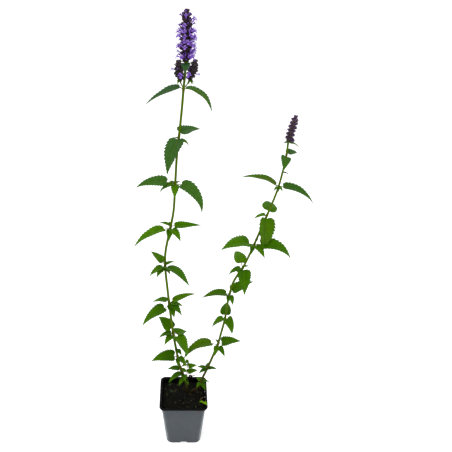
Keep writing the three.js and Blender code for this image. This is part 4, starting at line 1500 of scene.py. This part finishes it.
def bud_mesh(length):
    """A closed flower bud that stands out of a calyx."""
    angles = [angle for angle, _ in round_section(BUD_SIDES)]
    return loft([facing_ring(reach, length * share, angles) for share, reach in BUD_RINGS])


def lobe_reach(angle):
    """How far the lobes of a flower reach past its mouth in a direction."""
    reach = 0
    for centre, half, length in LOBES:
        gap = (degrees(angle) - centre + 180) % 360 - 180
        if abs(gap) < half:
            reach = max(reach, length * cos(QUARTER * gap / half) ** LOBE_ROUNDING)
    return reach


def flower_mesh(tube_length):
    """A two-lipped flower along +Y: a tube that flares into two upper, two side and one lower lobe."""
    angles = [FULL_TURN * i / LIMB_SIDES for i in range(LIMB_SIDES)]
    end = TUBE_RINGS[-1][0]
    rings, out = [], []
    for level, radius in TUBE_RINGS:
        rings.append(facing_ring(radius, level * tube_length / end, angles))
        out += [TUBE_OUT if level < end else THROAT_OUT] * LIMB_SIDES
    for step in range(1, LIMB_STEPS + 1):
        share = step / LIMB_STEPS
        ring = []
        for a in angles:
            reach = MOUTH_RADIUS + (LIMB_FLARE + lobe_reach(a)) * share
            curl = LIMB_CURL - LOWER_CURL * max(-sin(a), 0)
            y = tube_length + LIMB_RISE * share - curl * share ** 2
            ring.append(Vector((reach * cos(a), y, reach * sin(a))))
        rings.append(ring)
        out += [LIMB_OUT + (1 - LIMB_OUT) * share] * LIMB_SIDES
    points, faces = loft(rings, capped=False)
    return points, faces, out


def add_stamens(build, rng, mouth, scale):
    """Long fine stamens that bend out of the mouth of a flower."""
    for side, high in STAMENS:
        bend, stretch = draws(rng, STAMEN_DRAWS)
        reach = STAMEN_REACH * stretch
        out, along, up = STAMEN_MIDDLE
        path = [
            (side * STAMEN_SPREAD, -STAMEN_DEPTH, STAMEN_SPREAD * high),
            (side * out * bend, reach * along, up * high + STAMEN_SPREAD),
            (side * STAMEN_END[0] * bend, reach, STAMEN_END[1] * high * bend),
        ]
        line = [mouth @ (p * scale) for p in curve_points(path, STAMEN_STEPS)]
        skin = tube(line, [STAMEN_RADIUS] * len(line), round_section(STAMEN_SIDES))
        build.add(*skin, 2, out=0.0)
        anther = lump(rng, line[-1], ANTHER_SIZE, ANTHER_STRETCH, steps=ANTHER_STEPS)
        build.add(*anther, 2, out=1.0)


def add_flower(build, rng, place, length):
    """A flower that stands in a calyx of a length."""
    scale, stretch = draws(rng, FLOWER_DRAWS)
    points, faces, out = flower_mesh(TUBE_RINGS[-1][0] * stretch)
    mouth = place @ Matrix.Translation((0, length - FLOWER_SINK, 0))
    build.add([mouth @ (p * scale) for p in points], faces, 1, out=out, tone=rng.random())
    add_stamens(build, rng, mouth @ Matrix.Translation((0, STAMEN_START, 0)), scale)


def add_cluster(build, rng, place, length, t, flowers, budding):
    """A tuft of calyces where the part's source has one, and the flowers in some of them."""
    for number, (turn, rise, share) in enumerate(CLUSTER):
        more_turn, more_rise, stretch, radius = draws(rng, CALYX_DRAWS)
        turned = (
            place @ Matrix.Rotation(radians(turn + more_turn), 4, "Z")
            @ Matrix.Rotation(radians(rise + more_rise), 4, "X")
        )
        long = length * share * stretch
        points, faces, out, rib = calyx_mesh(long, radius * (1 - CALYX_THINNING * t))
        build.add(
            [turned @ p for p in points], faces, 0, out=out, rib=rib, tone=rng.random(),
            age=max(0.0, (t - PALE_FROM) * PALE_RATE),
        )
        if number < flowers:
            add_flower(build, rng, turned, long)
        elif rng.random() < budding * (1 - t):
            points, faces = bud_mesh(rng.uniform(*BUD_LENGTH))
            mouth = turned @ Matrix.Translation((0, long, 0))
            build.add([mouth @ p for p in points], faces, 1, **BUD_VALUES)


def add_core(build, spike, height):
    """The dense middle of a spike, which shows between its calyces."""
    angles = [angle for angle, _ in round_section(CORE_SIDES)]
    rings = []
    for step in range(CORE_STEPS + 1):
        t = step / CORE_STEPS
        radius = CORE_SHARE * spike_radius(spike, t) * (1 - CORE_NARROWING * t ** CORE_POWER)
        rings.append(level_ring(radius, t * height * CORE_REACH, angles))
    build.add(*loft(rings), 0, **CORE_VALUES)


def add_bracts(build, rng, spike):
    """Small pointed green bracts round the foot of a spike."""
    root = Vector(spike["foot"]) - UP * BRACT_SINK
    for i in range(BRACTS):
        turn, blade, lift = draws(rng, BRACT_DRAWS)
        add_blade(build, {
            **BRACT, "root": root, "turn": i * 360 / BRACTS + turn, "blade": blade,
            "lift": lift - spike["hang"], "seed": i, "tone": rng.random(),
        })


def make_spike(flower_looks, bract_looks, name, node, spike):
    rng = random.Random(spike["seed"])
    foot = Vector(spike["foot"])
    axis = Vector(spike["tip"]) - foot
    build = Build()
    add_core(build, spike, axis.length)
    for place, length, t, is_open in calyx_places(spike, axis.length):
        flowers = rng.choice((1, 2, 3) if t < SINGLE_FROM else (0, 1)) if is_open else 0
        closing = 1 - TIP_CLOSING * max(t - TIP_FROM, 0) / (1 - TIP_FROM)
        add_cluster(build, rng, place, length * closing, t, flowers, spike["budding"])
    for turn, rise, reach, level, length, flowers in spike["tufts"]:
        place = outwards(radians(turn), radians(rise), reach, level)
        add_cluster(build, rng, place, length, TUFT_SHARE, flowers, spike["budding"])
    for turn, rise, *shifts in spike["florets"]:
        reach, level = (shift + FLORET_SHIFT for shift in shifts)
        add_flower(build, rng, outwards(radians(turn), radians(rise), reach, level), 0)
    place = Matrix.Translation(foot) @ UP.rotation_difference(axis).to_matrix().to_4x4()
    build.points = [place @ p for p in build.points]
    build.make(name, flower_looks, (node,))
    bracts = Build()
    add_bracts(bracts, rng, spike)
    bracts.make(name + "_bracts", bract_looks)


# Studio


def place_camera():
    data = bpy.data.cameras.new("camera")
    data.lens = CAMERA_LENS
    data.sensor_width = CAMERA_SENSOR
    data.shift_x = CAMERA_SHIFT
    data.clip_end = CAMERA_REACH
    camera = link("camera", data)
    camera.location = Vector(CAMERA_PLACE) * MM
    camera.rotation_euler = (radians(CAMERA_PITCH), 0, 0)
    bpy.context.scene.camera = camera


def soft_light(name, place, aim, size, power):
    data = bpy.data.lights.new(name, "AREA")
    data.size = size
    data.energy = power
    light = link(name, data)
    light.location = place
    light.rotation_euler = (Vector(aim) - Vector(place)).to_track_quat("-Z", "Y").to_euler()


def make_studio():
    """A plain pale floor, soft lights and an even white surround."""
    h = FLOOR_HALF
    corners = [(-h, -h, 0), (h, -h, 0), (h, h, 0), (-h, h, 0)]
    floor = mesh_object("studio_floor", corners, [(0, 1, 2, 3)])
    floor.location.z = -FLOOR_DROP * MM
    look = Look({"name": "studio_white", "rough": FLOOR_ROUGH, "gloss": 0.0})
    look.sockets["Base Color"].default_value = FLOOR_COLOUR
    look.sockets["Emission Color"].default_value = WHITE
    look.sockets["Emission Strength"].default_value = FLOOR_GLOW
    floor.data.materials.append(look.material)
    world = bpy.data.worlds.new("studio")
    world.use_nodes = True
    background = world.node_tree.nodes["Background"]
    background.inputs["Color"].default_value = WHITE
    background.inputs["Strength"].default_value = WORLD_LIGHT
    bpy.context.scene.world = world
    for name, settings in LIGHTS.items():
        soft_light(name, *settings)
    bpy.context.scene.view_settings.view_transform = "Standard"


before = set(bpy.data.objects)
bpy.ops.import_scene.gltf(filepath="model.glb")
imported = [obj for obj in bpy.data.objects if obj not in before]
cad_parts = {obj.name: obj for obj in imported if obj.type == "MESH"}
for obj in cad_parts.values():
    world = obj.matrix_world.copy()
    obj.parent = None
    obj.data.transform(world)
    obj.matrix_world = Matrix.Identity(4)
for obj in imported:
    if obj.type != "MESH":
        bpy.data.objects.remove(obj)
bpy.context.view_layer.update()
place_camera()
make_studio()
looks = make_looks()
make_pot(looks)
make_loop(looks)
make_compost(looks)
make_litter(looks)
fallen_leaves(looks)

finishes = {
    "foliage": [looks["stem"], looks["leaf"], looks["hair"]],
    "seedling_green": [looks["seedling"], looks["seedling"]],
}
for name, (node, slot, *form) in STEM_PIECES.items():
    leafy_stem(finishes[slot], name, node, slot, *form)
bract_looks = [looks["stem"], looks["leaf"]]
for name, (node, spike, calyx) in SPIKE_PIECES.items():
    flower_looks = [looks[calyx], looks["petal"], looks["stamen"]]
    make_spike(flower_looks, bract_looks, name, node, spike)
